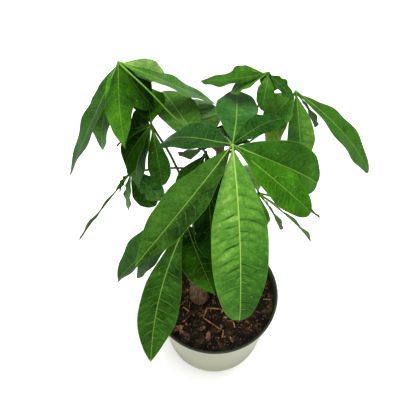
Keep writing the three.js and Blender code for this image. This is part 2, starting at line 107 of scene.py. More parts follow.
# A leaflet leaves its hub at a compass turn and a pitch above level, droops by the bend, and is
# swayed, rolled and folded. Above 1, skew moves its widest place past the middle, and a smaller
# tip power gives it a blunter tip. shade runs from deep green to young yellow-green and also
# paints light and shade: it is set low on leaflets deep in the crown's shade and high on lit ones.
# warmth runs from blue-green to yellow-green. Where they are given, the next numbers say how much
# painted light makes its left half lighter than its middle, how much painted light and shade make
# its tip lighter, how far it swells between its veins (ribbing), and how much browner its green is
# (olive).
LEAFLET_KEYS = ("turn", "pitch", "bend", "length", "width", "roll", "sway", "fold", "skew",
                "tip_power", "shade", "warmth", "lean", "fade", "ribbing", "olive")
LEAVES = {
    "leaf_front": {
        "trunk": "trunk_right", "foot": 316, "via": [(6, 12, 339)],
        "hub": (9, -1, 350), "stalk_shade": 0.65,
        "leaflets": [
            (-82, -28, 45, 130, 41, -10, -8, 2, 1.1, 0.45, 0.6, 0.45, -0.08, -0.12, 1.1, 0.3),
            (-125, -9, 12, 102, 35, 18, -8, 12, 1.11, 0.89, 0.34, 0.45, -0.05, 0, 0.3, 1),
            (145, -28, 36, 88, 32, 5, -7, 8, 1.03, 0.78, 0.38, 0.05),
            (82, -24, 7, 83, 31, 2, 9, 6, 1.26, 0.77, 0.54, 0, 0, 0.06),
            (53, -17, 25, 64, 18, 0, -12, 9, 1.08, 0.84, 0.32, 0.25, 0, 0.04),
            (1, -35, 18, 86, 40, 38, 9, 22, 1.19, 0.61, 0.44, 0.65, -0.01, 0.04),
            (-24, -35, 17, 81, 27, 10, 8, 2, 1.5, 0.5, 0.41, 1),
        ],
    },
    "leaf_left_high": {
        "trunk": "trunk_right", "foot": 298, "via": [(-31, 51, 306), (-50, 61, 326)],
        "hub": (-73, 77, 340), "stalk_shade": 0.6, "stalk_girth": 0.9,
        "leaflets": [
            (-125, -45, 22, 107, 38, 37, -21, 8, 1.13, 0.78, 0.38, 0.5, -0.05, 0),
            (-130, -60, 29, 89, 28, 9, -7, 19, 1.17, 0.81, 0.53, 1),
            (-98, -55, 6, 67, 25, -35, 23, 2, 0.85, 0.98, 0.52, 0.8, -0.05, 0.06),
            (24, -40, 14, 48, 17, 45, 6, 12, 1.3, 0.6, 0.91, 0.4),
            (6, -40, 10, 100, 26, -17, 14, 8, 1.22, 0.71, 0.57, 0.38, 0, -0.06),
            (8, -60, 8, 45, 26, 32, 0, 4, 1.15, 0.55, 0.36, 0.75),
            (-22, -62, 0, 50, 24, 10, 7, 2, 1.28, 0.83, 0.24, 0.85, -0.09, -0.08),
        ],
    },
    "leaf_back": {
        "trunk": "trunk_right", "foot": 311, "via": [(22, 43, 308), (31, 60, 317)],
        "hub": (35, 60, 350), "stalk_shade": 0.35,
        "leaflets": [
            (165, -34, 0, 62, 22, 15, -18, 6, 1.13, 0.85, 0.36, 1, 0, 0.05),
            (143, -39, 14, 53, 15, -35, -13, 10, 1.4, 0.77, 0.54, 0.7),
            (174, -39, 18, 36, 21, 6, -8, 9, 1.21, 0.78, 0.62, 0.7),
            (-100, -58, 8, 24, 13, -15, -10, 12, 1, 0.85, 0.52, 0.45, 0, -0.1),
            (-22, -42, 10, 28, 16, -10, 10, 8, 1.1, 0.8, 0.34, 0.6),
            (-95, -76, 12, 36, 14, 0, 0, 10, 1.2, 0.8, 0.57, 0.75),
            (72, -66, 14, 38, 18, 0, 0, 12, 1.27, 0.8, 0.18, 0.95),
        ],
    },
    "leaf_right_high": {
        "trunk": "trunk_right", "foot": 294, "via": [(20, 39, 290), (43, 56, 296)],
        "hub": (57, 63, 325), "stalk_shade": 0.5,
        "leaflets": [
            (-3, -44, 17, 109, 33, -11, -22, 5, 1.33, 0.61, 0.4, 1),
            (-61, -69, 12, 76, 23, 13, -2, 13, 1.16, 0.72, 0.6, 0.6, 0.12, 0.05),
            (-146, -39, 15, 36, 31, 12, -1, 2, 1.02, 0.79, 0.66, 0.35, -0.08, 0),
            (21, -62, 16, 59, 17, -13, -1, 8, 1.25, 0.79, 0.4, 0.9),
            (-143, -64, 14, 60, 19, 0, 0, 12, 1.27, 0.8, 0.84, 1),
        ],
    },
    "leaf_left_middle": {
        "trunk": "trunk_left", "foot": 266, "via": [(-26, 21, 268), (-38, 44, 272)],
        "hub": (-51, 56, 291), "stalk_shade": 0.15, "stalk_girth": 1.5,
        "leaflets": [
            (-152, -46, 40, 52, 38, 9, -3, 9, 1.29, 0.8, 0.16, 0.85, 0.04, 0),
            (-142, -64, 31, 78, 30, 2, -7, 18, 0.95, 0.75, 0.4, 0.5, 0, 0, 0.6),
            (158, -37, 38, 40, 38, 3, 7, 14, 1.07, 0.77, 0.14, 0.95),
            (-72, -62, 29, 63, 19, 15, 2, 17, 1.31, 0.8, 0.35, 0.65, 0.03, 0.06),
            (98, -5, 12, 41, 27, 0, 0, 8, 1.2, 0.8, 0.23, 0.9, -0.12, 0.05),
        ],
    },
    "leaf_front_low": {
        "trunk": "trunk_left", "foot": 205, "via": [(-22, -4, 224)],
        "hub": (-24, -3, 240), "stalk_shade": 0.3,
        "leaflets": [
            (-121, -30, 15, 116, 36, -30, 28, 17, 1.32, 0.9, 0.385, 0.5, 0, 0.03, 1, 0.7),
            (-62, -53, 8, 71, 32, 14, 13, 3, 0.93, 0.9, 0.18, 1, -0.09, 0.15, 0.8),
            (-164, -39, 22, 91, 38, 17, 3, 25, 0.99, 0.62, 0.44, 0.05, 0, 0, 0.3, 0.9),
            (-162, -49, 20, 83, 24, 10, 1, 13, 1.28, 0.8, 0.48, 0.45),
            (-22, -44, 24, 72, 28, 0, 0, 12, 1.27, 0.8, 0.02, 0.9),
        ],
    },
    "leaf_right_low": {
        "trunk": "trunk_right", "foot": 205, "via": [(19, 9, 226)],
        "hub": (33, 20, 250), "stalk_shade": 0.15,
        "leaflets": [
            (-6, -64, 15, 62, 18, -34, 6, 10, 1.27, 0.8, 0.7, 0.15),
            (-10, -47, 20, 84, 19, -48, 3, 10, 1.27, 0.8, 0.62, 0.95),
            (11, -36, 22, 78, 17, -47, -6, 10, 1.27, 0.8, 0.48, 0.95),
            (95, -25, 28, 58, 24, 0, 0, 12, 1.27, 0.8, 0.78, 0.35),
            (-75, -72, 24, 52, 18, 0, 0, 14, 1.27, 0.8, 0.53, 0.95),
        ],
    },
    "leaf_left_low": {
        "trunk": "trunk_right", "foot": 254, "via": [(-9, 33, 256), (-25, 47, 243), (-52, 56, 227)],
        "hub": (-73, 57, 220), "stalk_shade": 0.1, "stalk_girth": 1.35,
        "leaflets": [
            (-40, -42, 20, 38, 27, 4, 7, 9, 1.05, 0.74, 0.3, 0.75),
            (-25, -33, 18, 37, 21, 40, 0, 12, 1.06, 0.68, 0.53, 0, -0.05, 0.08, 1.3),
            (-105, -61, 23, 42, 14, 45, -4, 9, 1.32, 0.81, 0.65, 0),
            (-132, -26, 29, 77, 20, 66, -14, 5, 1.27, 0.8, 0.31, 0.9),
            (-152, -55, 17, 24, 12, 30, 0, 14, 1.28, 0.8, 0.04, 0.8),
        ],
    },
    "leaf_crown": {
        "trunk": "trunk_left", "foot": 279, "via": [(-12, 12, 303)],
        "hub": (-9, 14, 318), "stalk_shade": 0.3,
        "leaflets": [
            (-83, -52, 24, 94, 32, -18, 0, 14, 1.27, 0.8, 0.1, 0.9),
            (-131, -50, 27, 46, 24, 0, 0, 14, 1.27, 0.8, 0.28, 0.7),
            (-49, -53, 25, 73, 28, 0, 3, 14, 1.27, 0.8, 0.08, 0.9),
        ],
    },
    "leaf_back_low": {
        "trunk": "trunk_right", "foot": 268, "via": [(-6, 31, 282)],
        "hub": (-11, 35, 290), "stalk_shade": 0.2,
        "leaflets": [
            (98, -17, 17, 75, 37, 6, -8, 6, 1.27, 0.8, 0.62, 0, 0, 0, 1.1, 0.6),
            (112, -54, 24, 60, 26, 0, 0, 14, 1.27, 0.8, 0.08, 0.75),
            (115, -12, 14, 84, 32, 0, 0, 6, 1.3, 0.7, 0.56, 0.38, 0, 0, 0.5, 0.6),
            (50, -30, 26, 66, 28, 0, 0, 14, 1.27, 0.8, 0.17, 0.95),
        ],
    },
}

# Bark chips that lie on the soil: centre, long half-size, turn. Fibres: from, to.
CHIPS = [
    ((-35, -33), 6.0, 10), ((-29, -38), 5.0, -20), ((-6, -41), 5.0, 80), ((-12, -33), 4.0, 30),
    ((16, -44), 3.5, 120), ((-20, -19), 2.5, 60),
]
FIBRES = [
    ((-7, -13), (-11, -23)), ((-11, -23), (6, -35)), ((-7, -13), (6, -14)), ((8, -35), (7, -43)),
    ((46, -4), (54, -4)), ((-30, -12), (-24, -17)), ((17, -26), (19, -33)),
]

# How far above the soil the middle of a piece of loose litter lies.
LITTER_LIFT = {"crumb": 0.5, "chip": 0.5, "fibre": 1.2}

# Soft square lights over the plant: place and width in metres, and share of the key's power.
LAMPS = {"Soft top": ((0.1, 0.2, 1.9), 1.3, 1.0), "Soft front": ((-0.3, -1.2, 1.2), 1.0, 0.25)}
LAMPS_AIM = (0, 0, 0.2)
# The camera's place in metres, how far down from level it looks, and its sensor's width.
CAMERA = {
    "place": (-0.007, -0.298, 0.799), "down": 61.0, "roll": 0.4, "focal_pixels": 800.0,
    "frame_pixels": 416.0, "sensor": 36.0,
}


# ---- Settings a user would change ----

def linear(hex_colour):
    """An sRGB hex colour as linear red, green, blue and alpha."""
    parts = [int(hex_colour[i:i + 2], 16) / 255 for i in (1, 3, 5)]
    bright = [c / 12.92 if c <= 0.04045 else ((c + 0.055) / 1.055) ** 2.4 for c in parts]
    return (*bright, 1.0)


def colour(name, description, hex_colour):
    """A colour setting, stored linear."""
    return FloatVectorProperty(name=name, description=description, subtype="COLOR", size=4,
                               min=0, max=1, default=linear(hex_colour))


def length(name, description, millimetres):
    """A length setting in metres."""
    return FloatProperty(name=name, description=description, default=millimetres * MM, min=0,
                         unit="LENGTH", precision=5)


def number(name, description, default, least=0):
    """A setting that is a whole number."""
    return IntProperty(name=name, description=description, default=default, min=least)


class PotSettings(bpy.types.PropertyGroup):
    segments: number("Segments", "Sides of the turned pot", 144, 24)
    rim_round: length("Rim round", "Radius of the rolled edge of the rim", 0.6)
    outside: colour("Outside", "Off-white sheet seen from outside", "#808266")
    inside: colour("Inside", "Dark green sheet seen inside and on the rim", "#25321e")


class SoilSettings(bpy.types.PropertyGroup):
    crumbs: number("Crumbs", "Loose crumbs of peat", 1200)
    chips: number("Chips", "Scattered chips of bark", 150)
    fibres: number("Fibres", "Scattered fibres", 18)
    seed: number("Seed", "Draw of the scattered pieces", 12)
    clod: length("Clod height", "Height of the fine clods", 1.6)
    peat: colour("Peat", "Moist peat", "#110c06")
    crumb: colour("Crumb", "Drier crumbs of peat", "#21170c")
    bark_chip: colour("Bark chip", "Composted pine bark", "#5c3b2a")
    fibre: colour("Fibre", "Straw-coloured fibre", "#7f5431")


class TrunkSettings(bpy.types.PropertyGroup):
    sides: number("Sides", "Sides of the trunk", 36, 8)
    steps: number("Steps", "Rings up the trunk", 220, 20)
    lumps: length("Lumps", "Height of the bark's swellings", 0.35)
    bark: colour("Bark", "Grey-brown bark", "#5a452a")
    fissure: colour("Fissure", "Dark fissures and leaf scars", "#281f15")
    lenticel: colour("Lenticel", "Pale corky flecks", "#776953")


class LeafSettings(bpy.types.PropertyGroup):
    around: number("Points around", "Points round a leaflet's section", 44, 12)
    steps: number("Steps", "Rows along a leaflet", 84, 12)
    thickness: length("Blade thickness", "Thickness of a blade in the middle", 0.6)
    quilting: length("Quilting", "Swelling of the blade between its side veins", 0.8)
    vein_spacing: length("Vein spacing", "Distance between side veins", 8.0)
    rib_height: length("Midrib height", "How far the midrib stands out", 0.5)
    green: colour("Green", "Full-grown blade", "#31630f")
    vein: colour("Vein", "Midrib and side veins", "#89ab4c")
    underside: colour("Underside", "Paler under face", "#4c6737")


class StageSettings(bpy.types.PropertyGroup):
    floor: colour("Floor", "Pale floor", "#fbfbfa")
    floor_size: length("Floor size", "Width of the floor", 8000)
    key_power: FloatProperty(name="Key light", description="Power of the large soft light",
                             default=50, min=0, unit="POWER")
    sky: FloatProperty(name="Sky", description="Strength of the even light all round",
                       default=0.6, min=0)


class MoneyTreeSettings(bpy.types.PropertyGroup):
    pot: PointerProperty(type=PotSettings)
    soil: PointerProperty(type=SoilSettings)
    trunk: PointerProperty(type=TrunkSettings)
    leaf: PointerProperty(type=LeafSettings)
    stage: PointerProperty(type=StageSettings)


# ---- Node building ----

# A kind of node is its type, alone or with its settings.
PLUS, MINUS, TIMES, OVER, ABS, POWER, SIGN, SINE, LEAST, MOST, FRACTION = (
    ("ShaderNodeMath", {"operation": name}) for name in (
        "ADD", "SUBTRACT", "MULTIPLY", "DIVIDE", "ABSOLUTE", "POWER", "SIGN", "SINE", "MINIMUM",
        "MAXIMUM", "FRACT"))
VECTOR_PLUS, VECTOR_TIMES, SCALED = (
    ("ShaderNodeVectorMath", {"operation": name}) for name in ("ADD", "MULTIPLY", "SCALE"))
ABOVE = ("FunctionNodeCompare", {"operation": "GREATER_THAN"})
MAP_RANGE, NOISE, BUMP = "ShaderNodeMapRange", "ShaderNodeTexNoise", "ShaderNodeBump"
MIX = ("ShaderNodeMix", {"data_type": "RGBA"})
SPOTS = ("ShaderNodeTexVoronoi", {"feature": "F1"})
CIRCLE = ("GeometryNodeCurvePrimitiveCircle", {"mode": "RADIUS"})
STORE, STORE_VECTOR = (
    ("GeometryNodeStoreNamedAttribute", {"data_type": kind, "domain": "POINT"})
    for kind in ("FLOAT", "FLOAT_VECTOR"))
READ, READ_VECTOR = (
    ("GeometryNodeInputNamedAttribute", {"data_type": kind}) for kind in ("FLOAT", "FLOAT_VECTOR"))
MOVE, SMOOTH = "GeometryNodeSetPosition", "GeometryNodeSetShadeSmooth"


def feed(tree, node, inputs):
    """Links or sets a node's inputs by name or in order, and leaves one that is given as None."""
    for key, value in inputs.items() if isinstance(inputs, dict) else enumerate(inputs):
        if isinstance(value, bpy.types.NodeSocket):
            tree.links.new(value, node.inputs[key])
        elif value is not None:
            node.inputs[key].default_value = value


def add(tree, kind, inputs=None, output=0):
    """Adds a node with its settings and inputs, and gives one of its outputs, or the node."""
    kind, settings = (kind, {}) if isinstance(kind, str) else kind
    node = tree.nodes.new(kind)
    for name, value in settings.items():
        setattr(node, name, value)
    feed(tree, node, inputs or ())
    return node.outputs[output] if node.outputs else node


def chain(put, kind, *terms):
    """Several terms joined in order by one kind of node."""
    return reduce(lambda left, right: put(kind, (left, right)), terms)


def geometry_tree(name, values):
    """A geometry tree, the function that adds nodes to it, and its input sockets by name.

    An input is given by the number it starts from, or by what it takes.
    """
    tree = bpy.data.node_groups.new(name, "GeometryNodeTree")
    new_socket = tree.interface.new_socket
    new_socket("Geometry", in_out="INPUT", socket_type="NodeSocketGeometry")
    for label, value in values.items():
        kind = {int: "Int", float: "Float"}.get(type(value), value)
        socket = new_socket(label, in_out="INPUT", socket_type=f"NodeSocket{kind}")
        if kind != value:
            socket.default_value = value
    new_socket("Geometry", in_out="OUTPUT", socket_type="NodeSocketGeometry")
    entry = tree.nodes.new("NodeGroupInput")
    given = {socket.name: socket for socket in entry.outputs if socket.name}
    return tree, partial(add, tree), given


def end_tree(put, shape, *coats):
    """Ends a geometry tree in one plain mesh, with each material set where it belongs."""
    shape = put("GeometryNodeRealizeInstances", {"Geometry": shape})
    for material, where in coats:
        shape = put("GeometryNodeSetMaterial",
                    {"Geometry": shape, "Selection": where, "Material": material})
    put("NodeGroupOutput", [shape])


def linked(name, data):
    """A new object in the scene for a mesh, lamp or camera, or for a shape still being edited."""
    if isinstance(data, bmesh.types.BMesh):
        shape, data = data, bpy.data.meshes.new(name)
        shape.to_mesh(data)
        shape.free()
    piece = bpy.data.objects.new(name, data)
    bpy.context.scene.collection.objects.link(piece)
    return piece


def points_mesh(name, places, attributes, edges=()):
    """A mesh of bare points or lines that carries the numbers a tree reads."""
    mesh = bpy.data.meshes.new(name)
    mesh.from_pydata([tuple(p) for p in places], list(edges), [])
    for label, numbers in attributes.items():
        numbers = np.asarray(numbers, np.float32)
        kind, key = ("FLOAT_VECTOR", "vector") if numbers.ndim == 2 else ("FLOAT", "value")
        store = mesh.attributes.new(label, kind, "POINT")
        store.data.foreach_set(key, numbers.ravel())
    return linked(name, mesh)


def grown(name, seed_piece, tree, values):
    """The plain mesh object that a tree makes of a piece, with its faces pointing out."""
    modifier = seed_piece.modifiers.new(tree.name, "NODES")
    modifier.node_group = tree
    # A modifier's input is set by its socket's identifier.
    identifiers = {item.name: item.identifier for item in tree.interface.items_tree
                   if item.in_out == "INPUT"}
    for label, value in values.items():
        modifier[identifiers[label]] = value
    depsgraph = bpy.context.evaluated_depsgraph_get()
    depsgraph.update()
    mesh = bpy.data.meshes.new_from_object(seed_piece.evaluated_get(depsgraph),
                                           preserve_all_data_layers=True, depsgraph=depsgraph)
    seed_piece.modifiers.remove(modifier)
    bpy.data.objects.remove(seed_piece)
    if not mesh.polygons:
        raise RuntimeError(f"{name}: the tree {tree.name} made no faces")
    shape = bmesh.new()
    shape.from_mesh(mesh)
    bmesh.ops.recalc_face_normals(shape, faces=shape.faces)
    shape.to_mesh(mesh)
    shape.free()
    mesh.name = name
    return linked(name, mesh)


def place(piece, slot, *nodes):
    """Puts a finished piece on the plant's body and hides the solids it stands for. Its slot is not
    used.
    """
    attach(piece, "root")
    if nodes:
        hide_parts(*nodes)


def new_material(name):
    """A fresh node material and the function that adds nodes to it."""
    material = bpy.data.materials.new(name)
    material.use_nodes = True
    return material, partial(add, material.node_tree)


def painted(material, inputs):
    """The material with these inputs of its Principled node linked or set."""
    feed(material.node_tree, material.node_tree.nodes["Principled BSDF"], inputs)
    return material


def tint(value):
    """A colour given as hex, or as it is."""
    return linear(value) if isinstance(value, str) else value


def with_stops(ramp, stops):
    """A colour ramp's output, once its node has these stops (position, colour) in order."""
    elements = ramp.node.color_ramp.elements
    while len(elements) < len(stops):
        elements.new(0.5)
    for element, (position, value) in zip(elements, stops):
        element.position = position
        element.color = tint(value)
    return ramp


def under_coats(put, skin, *coats):
    """A colour with coats (share, colour) laid over it in order."""
    for share, coat in coats:
        skin = put(MIX, {0: share, 6: skin, 7: tint(coat)}, 2)
    return skin


# ---- Lines and sweeps ----

def smooth_line(points, count):
    """A centripetal Catmull-Rom line through the points, resampled to even steps."""
    p = np.array(points, float)
    p = np.vstack([2 * p[0] - p[1], p, 2 * p[-1] - p[-2]])
    dense = []
    for i in range(1, len(p) - 2):
        x0, x1, x2, x3 = p[i - 1:i + 3]
        d0, d1, d2 = (np.linalg.norm(b - a) ** 0.5 for a, b in ((x0, x1), (x1, x2), (x2, x3)))
        t1 = ((x1 - x0) / d0 - (x2 - x0) / (d0 + d1) + (x2 - x1) / d1) * d1
        t2 = ((x2 - x1) / d1 - (x3 - x1) / (d1 + d2) + (x3 - x2) / d2) * d1
        t = np.linspace(0, 1, 80, endpoint=False)[:, None]
        dense.append(x1 + t1 * t + (3 * x2 - 3 * x1 - 2 * t1 - t2) * t ** 2
                     + (2 * x1 - 2 * x2 + t1 + t2) * t ** 3)
    dense = np.vstack([*dense, p[-2]])
    walked = np.concatenate([[0], np.cumsum(np.linalg.norm(np.diff(dense, axis=0), axis=1))])
    marks = np.linspace(0, walked[-1], count)
    return np.column_stack([np.interp(marks, walked, dense[:, k]) for k in range(3)])


def carried_frames(line):
    """Side and up vectors carried along a line with no twist."""
    along = np.gradient(line, axis=0)
    along /= np.linalg.norm(along, axis=1)[:, None]
    side = np.cross(along[0], (0.3, 1.0, 0.2))
    sides = []
    for direction in along:
        side = side - direction * (side @ direction)
        side /= np.linalg.norm(side)
        sides.append(side)
    sides = np.array(sides)
    return sides, np.cross(along, sides)


def round_rows(line, radii, **extra):
    """The sweep rows of a round stalk."""
    side, up = carried_frames(line)
    return {"spine": line * MM, "side": side, "up": up, "spread": radii * MM,
            "thick": radii * MM, "stalk": np.ones(len(line)), **extra}


SWEPT_NUMBERS = ("spread", "thick", "lift", "wave", "along", "quilt", "veins", "stalk", "midrib")
SKIN_NUMBERS = ("shade", "warmth", "lean", "fade", "olive")


def sweep_skeleton(name, strands):
    """One mesh of lines from several strands of rows; a number that a strand leaves out is 0."""
    counts = [len(strand["spine"]) for strand in strands]
    filled = {key: np.vstack([strand[key] for strand in strands])
              for key in ("spine", "side", "up")}
    for key in SWEPT_NUMBERS + SKIN_NUMBERS:
        filled[key] = np.concatenate([
            np.broadcast_to(strand.get(key, 0.0), count) for strand, count in zip(strands, counts)
        ])
    starts = np.cumsum([0, *counts[:-1]])
    edges = [(int(s + i), int(s + i + 1)) for s, c in zip(starts, counts) for i in range(c - 1)]
    return points_mesh(name, filled["spine"], filled, edges)


def sweep_tree():
    """Sweeps a closed section along every line, flat for a blade and round for a stalk.

    Each line point says where its section stands, how wide and thick it is, and how the blade
    lifts, waves and swells there.
    """
    tree, put, given = geometry_tree("Swept growth", {
        "Points around": 44, "Quilting": 0.0, "Rib height": 0.0, "Rib half-width": 0.001,
        "Vein slant": 0.5, "Vein spacing": 0.0075, "Lumps": 0.0, "Lump size": 0.006,
        "Blade": "Material", "Stalk": "Material",
    })
    section = put(CIRCLE, {"Resolution": given["Points around"], "Radius": 1.0})
    spot = put("GeometryNodeInputPosition")
    circle_x, circle_y = (put("ShaderNodeSeparateXYZ", [spot], axis) for axis in "XY")
    # Points crowd to the middle of the blade, where its rib is.
    crowded = put(TIMES, (put(SIGN, [circle_x]), put(POWER, (put(ABS, [circle_x]), 1.6))))
    for label, value in (("ring", circle_x), ("across", crowded), ("face", circle_y)):
        section = put(STORE, {"Geometry": section, "Name": label, "Value": value})
    lines = put("GeometryNodeMeshToCurve", {"Mesh": given["Geometry"]})
    swept = put("GeometryNodeCurveToMesh",
                {"Curve": lines, "Profile Curve": section, "Fill Caps": True})

    side, up, spine = (put(READ_VECTOR, {"Name": name}) for name in ("side", "up", "spine"))
    spread, thick, lift, wave, along, quilt, veins, stalk, midrib, ring, face, across = (
        put(READ, {"Name": name}) for name in (*SWEPT_NUMBERS, "ring", "face", "across"))
    u = put(PLUS, (across, put(TIMES, (put(MINUS, (ring, across)), stalk))))
    far = put(ABS, [u])
    sideways = put(TIMES, (u, spread))
    from_rib = put(TIMES, (far, spread))

    # Side veins leave the midrib slanting to the tip and curve on towards it at the margin.
    slanted = put(TIMES, (from_rib, given["Vein slant"]))
    curved = put(TIMES, (slanted, far))
    run = put(OVER, (put(PLUS, (slanted, curved)), given["Vein spacing"]))
    # A slow noise shifts the veins, so that no two keep their distance, and the sides alternate.
    on_blade = put(VECTOR_PLUS, (spine, put(SCALED, {0: side, "Scale": sideways})))
    wander = put(NOISE, {"Vector": on_blade, "Scale": 1 / (20 * MM), "Detail": 1.0})
    stagger = put(PLUS, (put(TIMES, (put(SIGN, [u]), 0.17)),
                         put(TIMES, (put(MINUS, (wander, 0.5)), 1.3))))
    phase = put(PLUS, (put(MINUS, (veins, run)), stagger))

    # The blade swells between its veins, not at its rib or margin, and more here than there.
    swell = put(ABS, [put(SINE, [put(TIMES, (phase, math.pi))])])
    swell = put(MINUS, (put(POWER, (swell, 0.6)), 0.5))
    off_rib = put(LEAST, (put(TIMES, (far, 5.0)), 1.0))
    off_margin = put(MINUS, (1.0, put(POWER, (far, 4.0))))
    uneven = put(MAP_RANGE, [wander, 0.35, 0.65, 0.3, 1.3])
    swell = chain(put, TIMES, swell, off_rib, off_margin, quilt, uneven, given["Quilting"])

    # The midrib is a ridge on the upper face that sinks towards the tip.
    half_width = put(TIMES, (given["Rib half-width"], midrib))
    rib = put(MOST, (put(MINUS, (1.0, put(OVER, (from_rib, half_width)))), 0.0))
    taper = put(MINUS, (1.0, put(TIMES, (along, 0.85))))
    blade_only = put(MINUS, (1.0, stalk))
    rib = chain(put, TIMES, rib, taper, blade_only, face, midrib, given["Rib height"])

    lumps = put(NOISE, {"Vector": spot, "Scale": put(OVER, (1.0, given["Lump size"])),
                        "Detail": 3.0})
    lump = chain(put, TIMES, put(MINUS, (lumps, 0.5)), given["Lumps"], stalk, 2.0)

    out_side = put(PLUS, (sideways, put(TIMES, (ring, lump))))
    out_up = chain(put, PLUS, put(TIMES, (face, put(PLUS, (thick, lump)))),
                   put(TIMES, (far, lift)), put(TIMES, (put(TIMES, (u, far)), wave)), rib, swell)
    stands = put(VECTOR_PLUS, (spine, put(VECTOR_PLUS, (
        put(SCALED, {0: side, "Scale": out_side}), put(SCALED, {0: up, "Scale": out_up})))))
    for label, value in (("vein_phase", phase), ("rib_distance", from_rib)):
        swept = put(STORE, {"Geometry": swept, "Name": label, "Value": value})
    smooth = put(SMOOTH, {"Geometry": put(MOVE, {"Geometry": swept, "Position": stands})})
    end_tree(put, smooth, (given["Blade"], None), (given["Stalk"], put(ABOVE, [stalk, 0.5])))
    return tree


# ---- Materials ----

def cream_polypropylene(settings):
    """Thermoformed polypropylene, off-white: satin, faintly uneven, dusty with peat low down."""
    material, put = new_material("thermoformed off-white polypropylene")
    spot = put("ShaderNodeTexCoord", None, "Object")
    # The sheet thins as it is drawn down, so its tone drifts over about 40 mm.
    drift = put(NOISE, {"Vector": spot, "Scale": 1 / (40 * MM)})
    tone = with_stops(put("ShaderNodeValToRGB", [drift]),
                      [(0.35, "#878a6b"), (0.65, settings.outside)])
    # Peat specks about 3 mm apart, in patches of 22 mm and only where the noise peaks.
    specks = put(NOISE, {"Vector": spot, "Scale": 1 / (3 * MM), "Detail": 4.0})
    patches = put(NOISE, {"Vector": spot, "Scale": 1 / (22 * MM)})
    dirt = put(TIMES, (put(MAP_RANGE, [specks, 0.66, 0.74, 0.0, 1.0]),
                       put(MAP_RANGE, [patches, 0.55, 0.65, 0.0, 0.8])))
    # The mould's fine orange peel, 1.5 mm.
    peel = put(NOISE, {"Vector": spot, "Scale": 1 / (1.5 * MM)})
    return painted(material, {
        "Base Color": under_coats(put, tone, (dirt, "#413322")), "Roughness": 0.4, "IOR": 1.49,
        "Normal": put(BUMP, {"Strength": 0.15, "Distance": 0.1 * MM, "Height": peel})})


def dark_polypropylene(settings):
    """Thermoformed polypropylene, dark green: satin, with peat dust that dulls it."""
    material, put = new_material("thermoformed dark green polypropylene")
    spot = put("ShaderNodeTexCoord", None, "Object")
    # Dust lies in smudges of about 4 mm.
    dust = put(NOISE, {"Vector": spot, "Scale": 1 / (4 * MM), "Detail": 5.0})
    tone = with_stops(put("ShaderNodeValToRGB", [dust]),
                      [(0.4, settings.inside), (0.72, "#2d2e1e")])
    return painted(material, {
        "Base Color": tone, "Roughness": put(MAP_RANGE, [dust, 0.3, 0.7, 0.4, 0.65]),
        "IOR": 1.49, "Specular IOR Level": 0.2})


def grain_material(name, dark, base, light, grain, roughness, relief):
    """Loose natural grains: tones drift from piece to piece and over each one's rough face."""
    material, put = new_material(name)
    spot = put("ShaderNodeTexCoord", None, "Object")
    fine = put(NOISE, {"Vector": spot, "Scale": 1 / (grain * MM), "Detail": 6.0})
    broad = put(NOISE, {"Vector": spot, "Scale": 1 / (7 * grain * MM), "Detail": 2.0})
    mixed = put(TIMES, (put(PLUS, (fine, broad)), 0.5))
    tone = with_stops(put("ShaderNodeValToRGB", [mixed]), [(0.4, dark), (0.5, base), (0.62, light)])
    return painted(material, {
        "Base Color": tone, "Roughness": roughness, "Specular IOR Level": 0.15,
        "Normal": put(BUMP, {"Strength": 0.8, "Distance": relief * MM, "Height": fine})})


def young_bark(settings):
    """Smooth young bark: grey-brown, greener up the trunk, with scars, cracks and pale flecks."""
    material, put = new_material("young money tree bark")
    spot = put("ShaderNodeTexCoord", None, "Object")
    scar, height = (put(("ShaderNodeAttribute", {"attribute_name": name}), None, "Fac")
                    for name in ("shade", "warmth"))
    # Bark is drawn out up the trunk, so its 1.6 mm streaks are stretched 5 times along Z.
    drawn = put("ShaderNodeMapping", {"Vector": spot, "Scale": (1, 1, 0.2)})
    streaks = put(NOISE, {"Vector": drawn, "Scale": 1 / (1.6 * MM), "Detail": 6.0,
                          "Roughness": 0.6})
    tone = with_stops(put("ShaderNodeValToRGB", [streaks]), [
        (0.36, settings.fissure), (0.52, settings.bark), (0.7, "#776754")])
    flecks = put(SPOTS, {"Vector": spot, "Scale": 1 / (4 * MM)})
    tone = under_coats(
        put, tone,
        (put(MAP_RANGE, [flecks, 0.16, 0.24, 0.6, 0.0]), settings.lenticel),
        (put(MAP_RANGE, [height, 0.55, 1.0, 0.0, 0.65]), "#525e33"),
        (scar, settings.fissure))
    return painted(material, {
        "Base Color": tone, "Roughness": 0.72, "Specular IOR Level": 0.2,
        "Normal": put(BUMP, {"Strength": 0.7, "Distance": 0.4 * MM, "Height": streaks})})


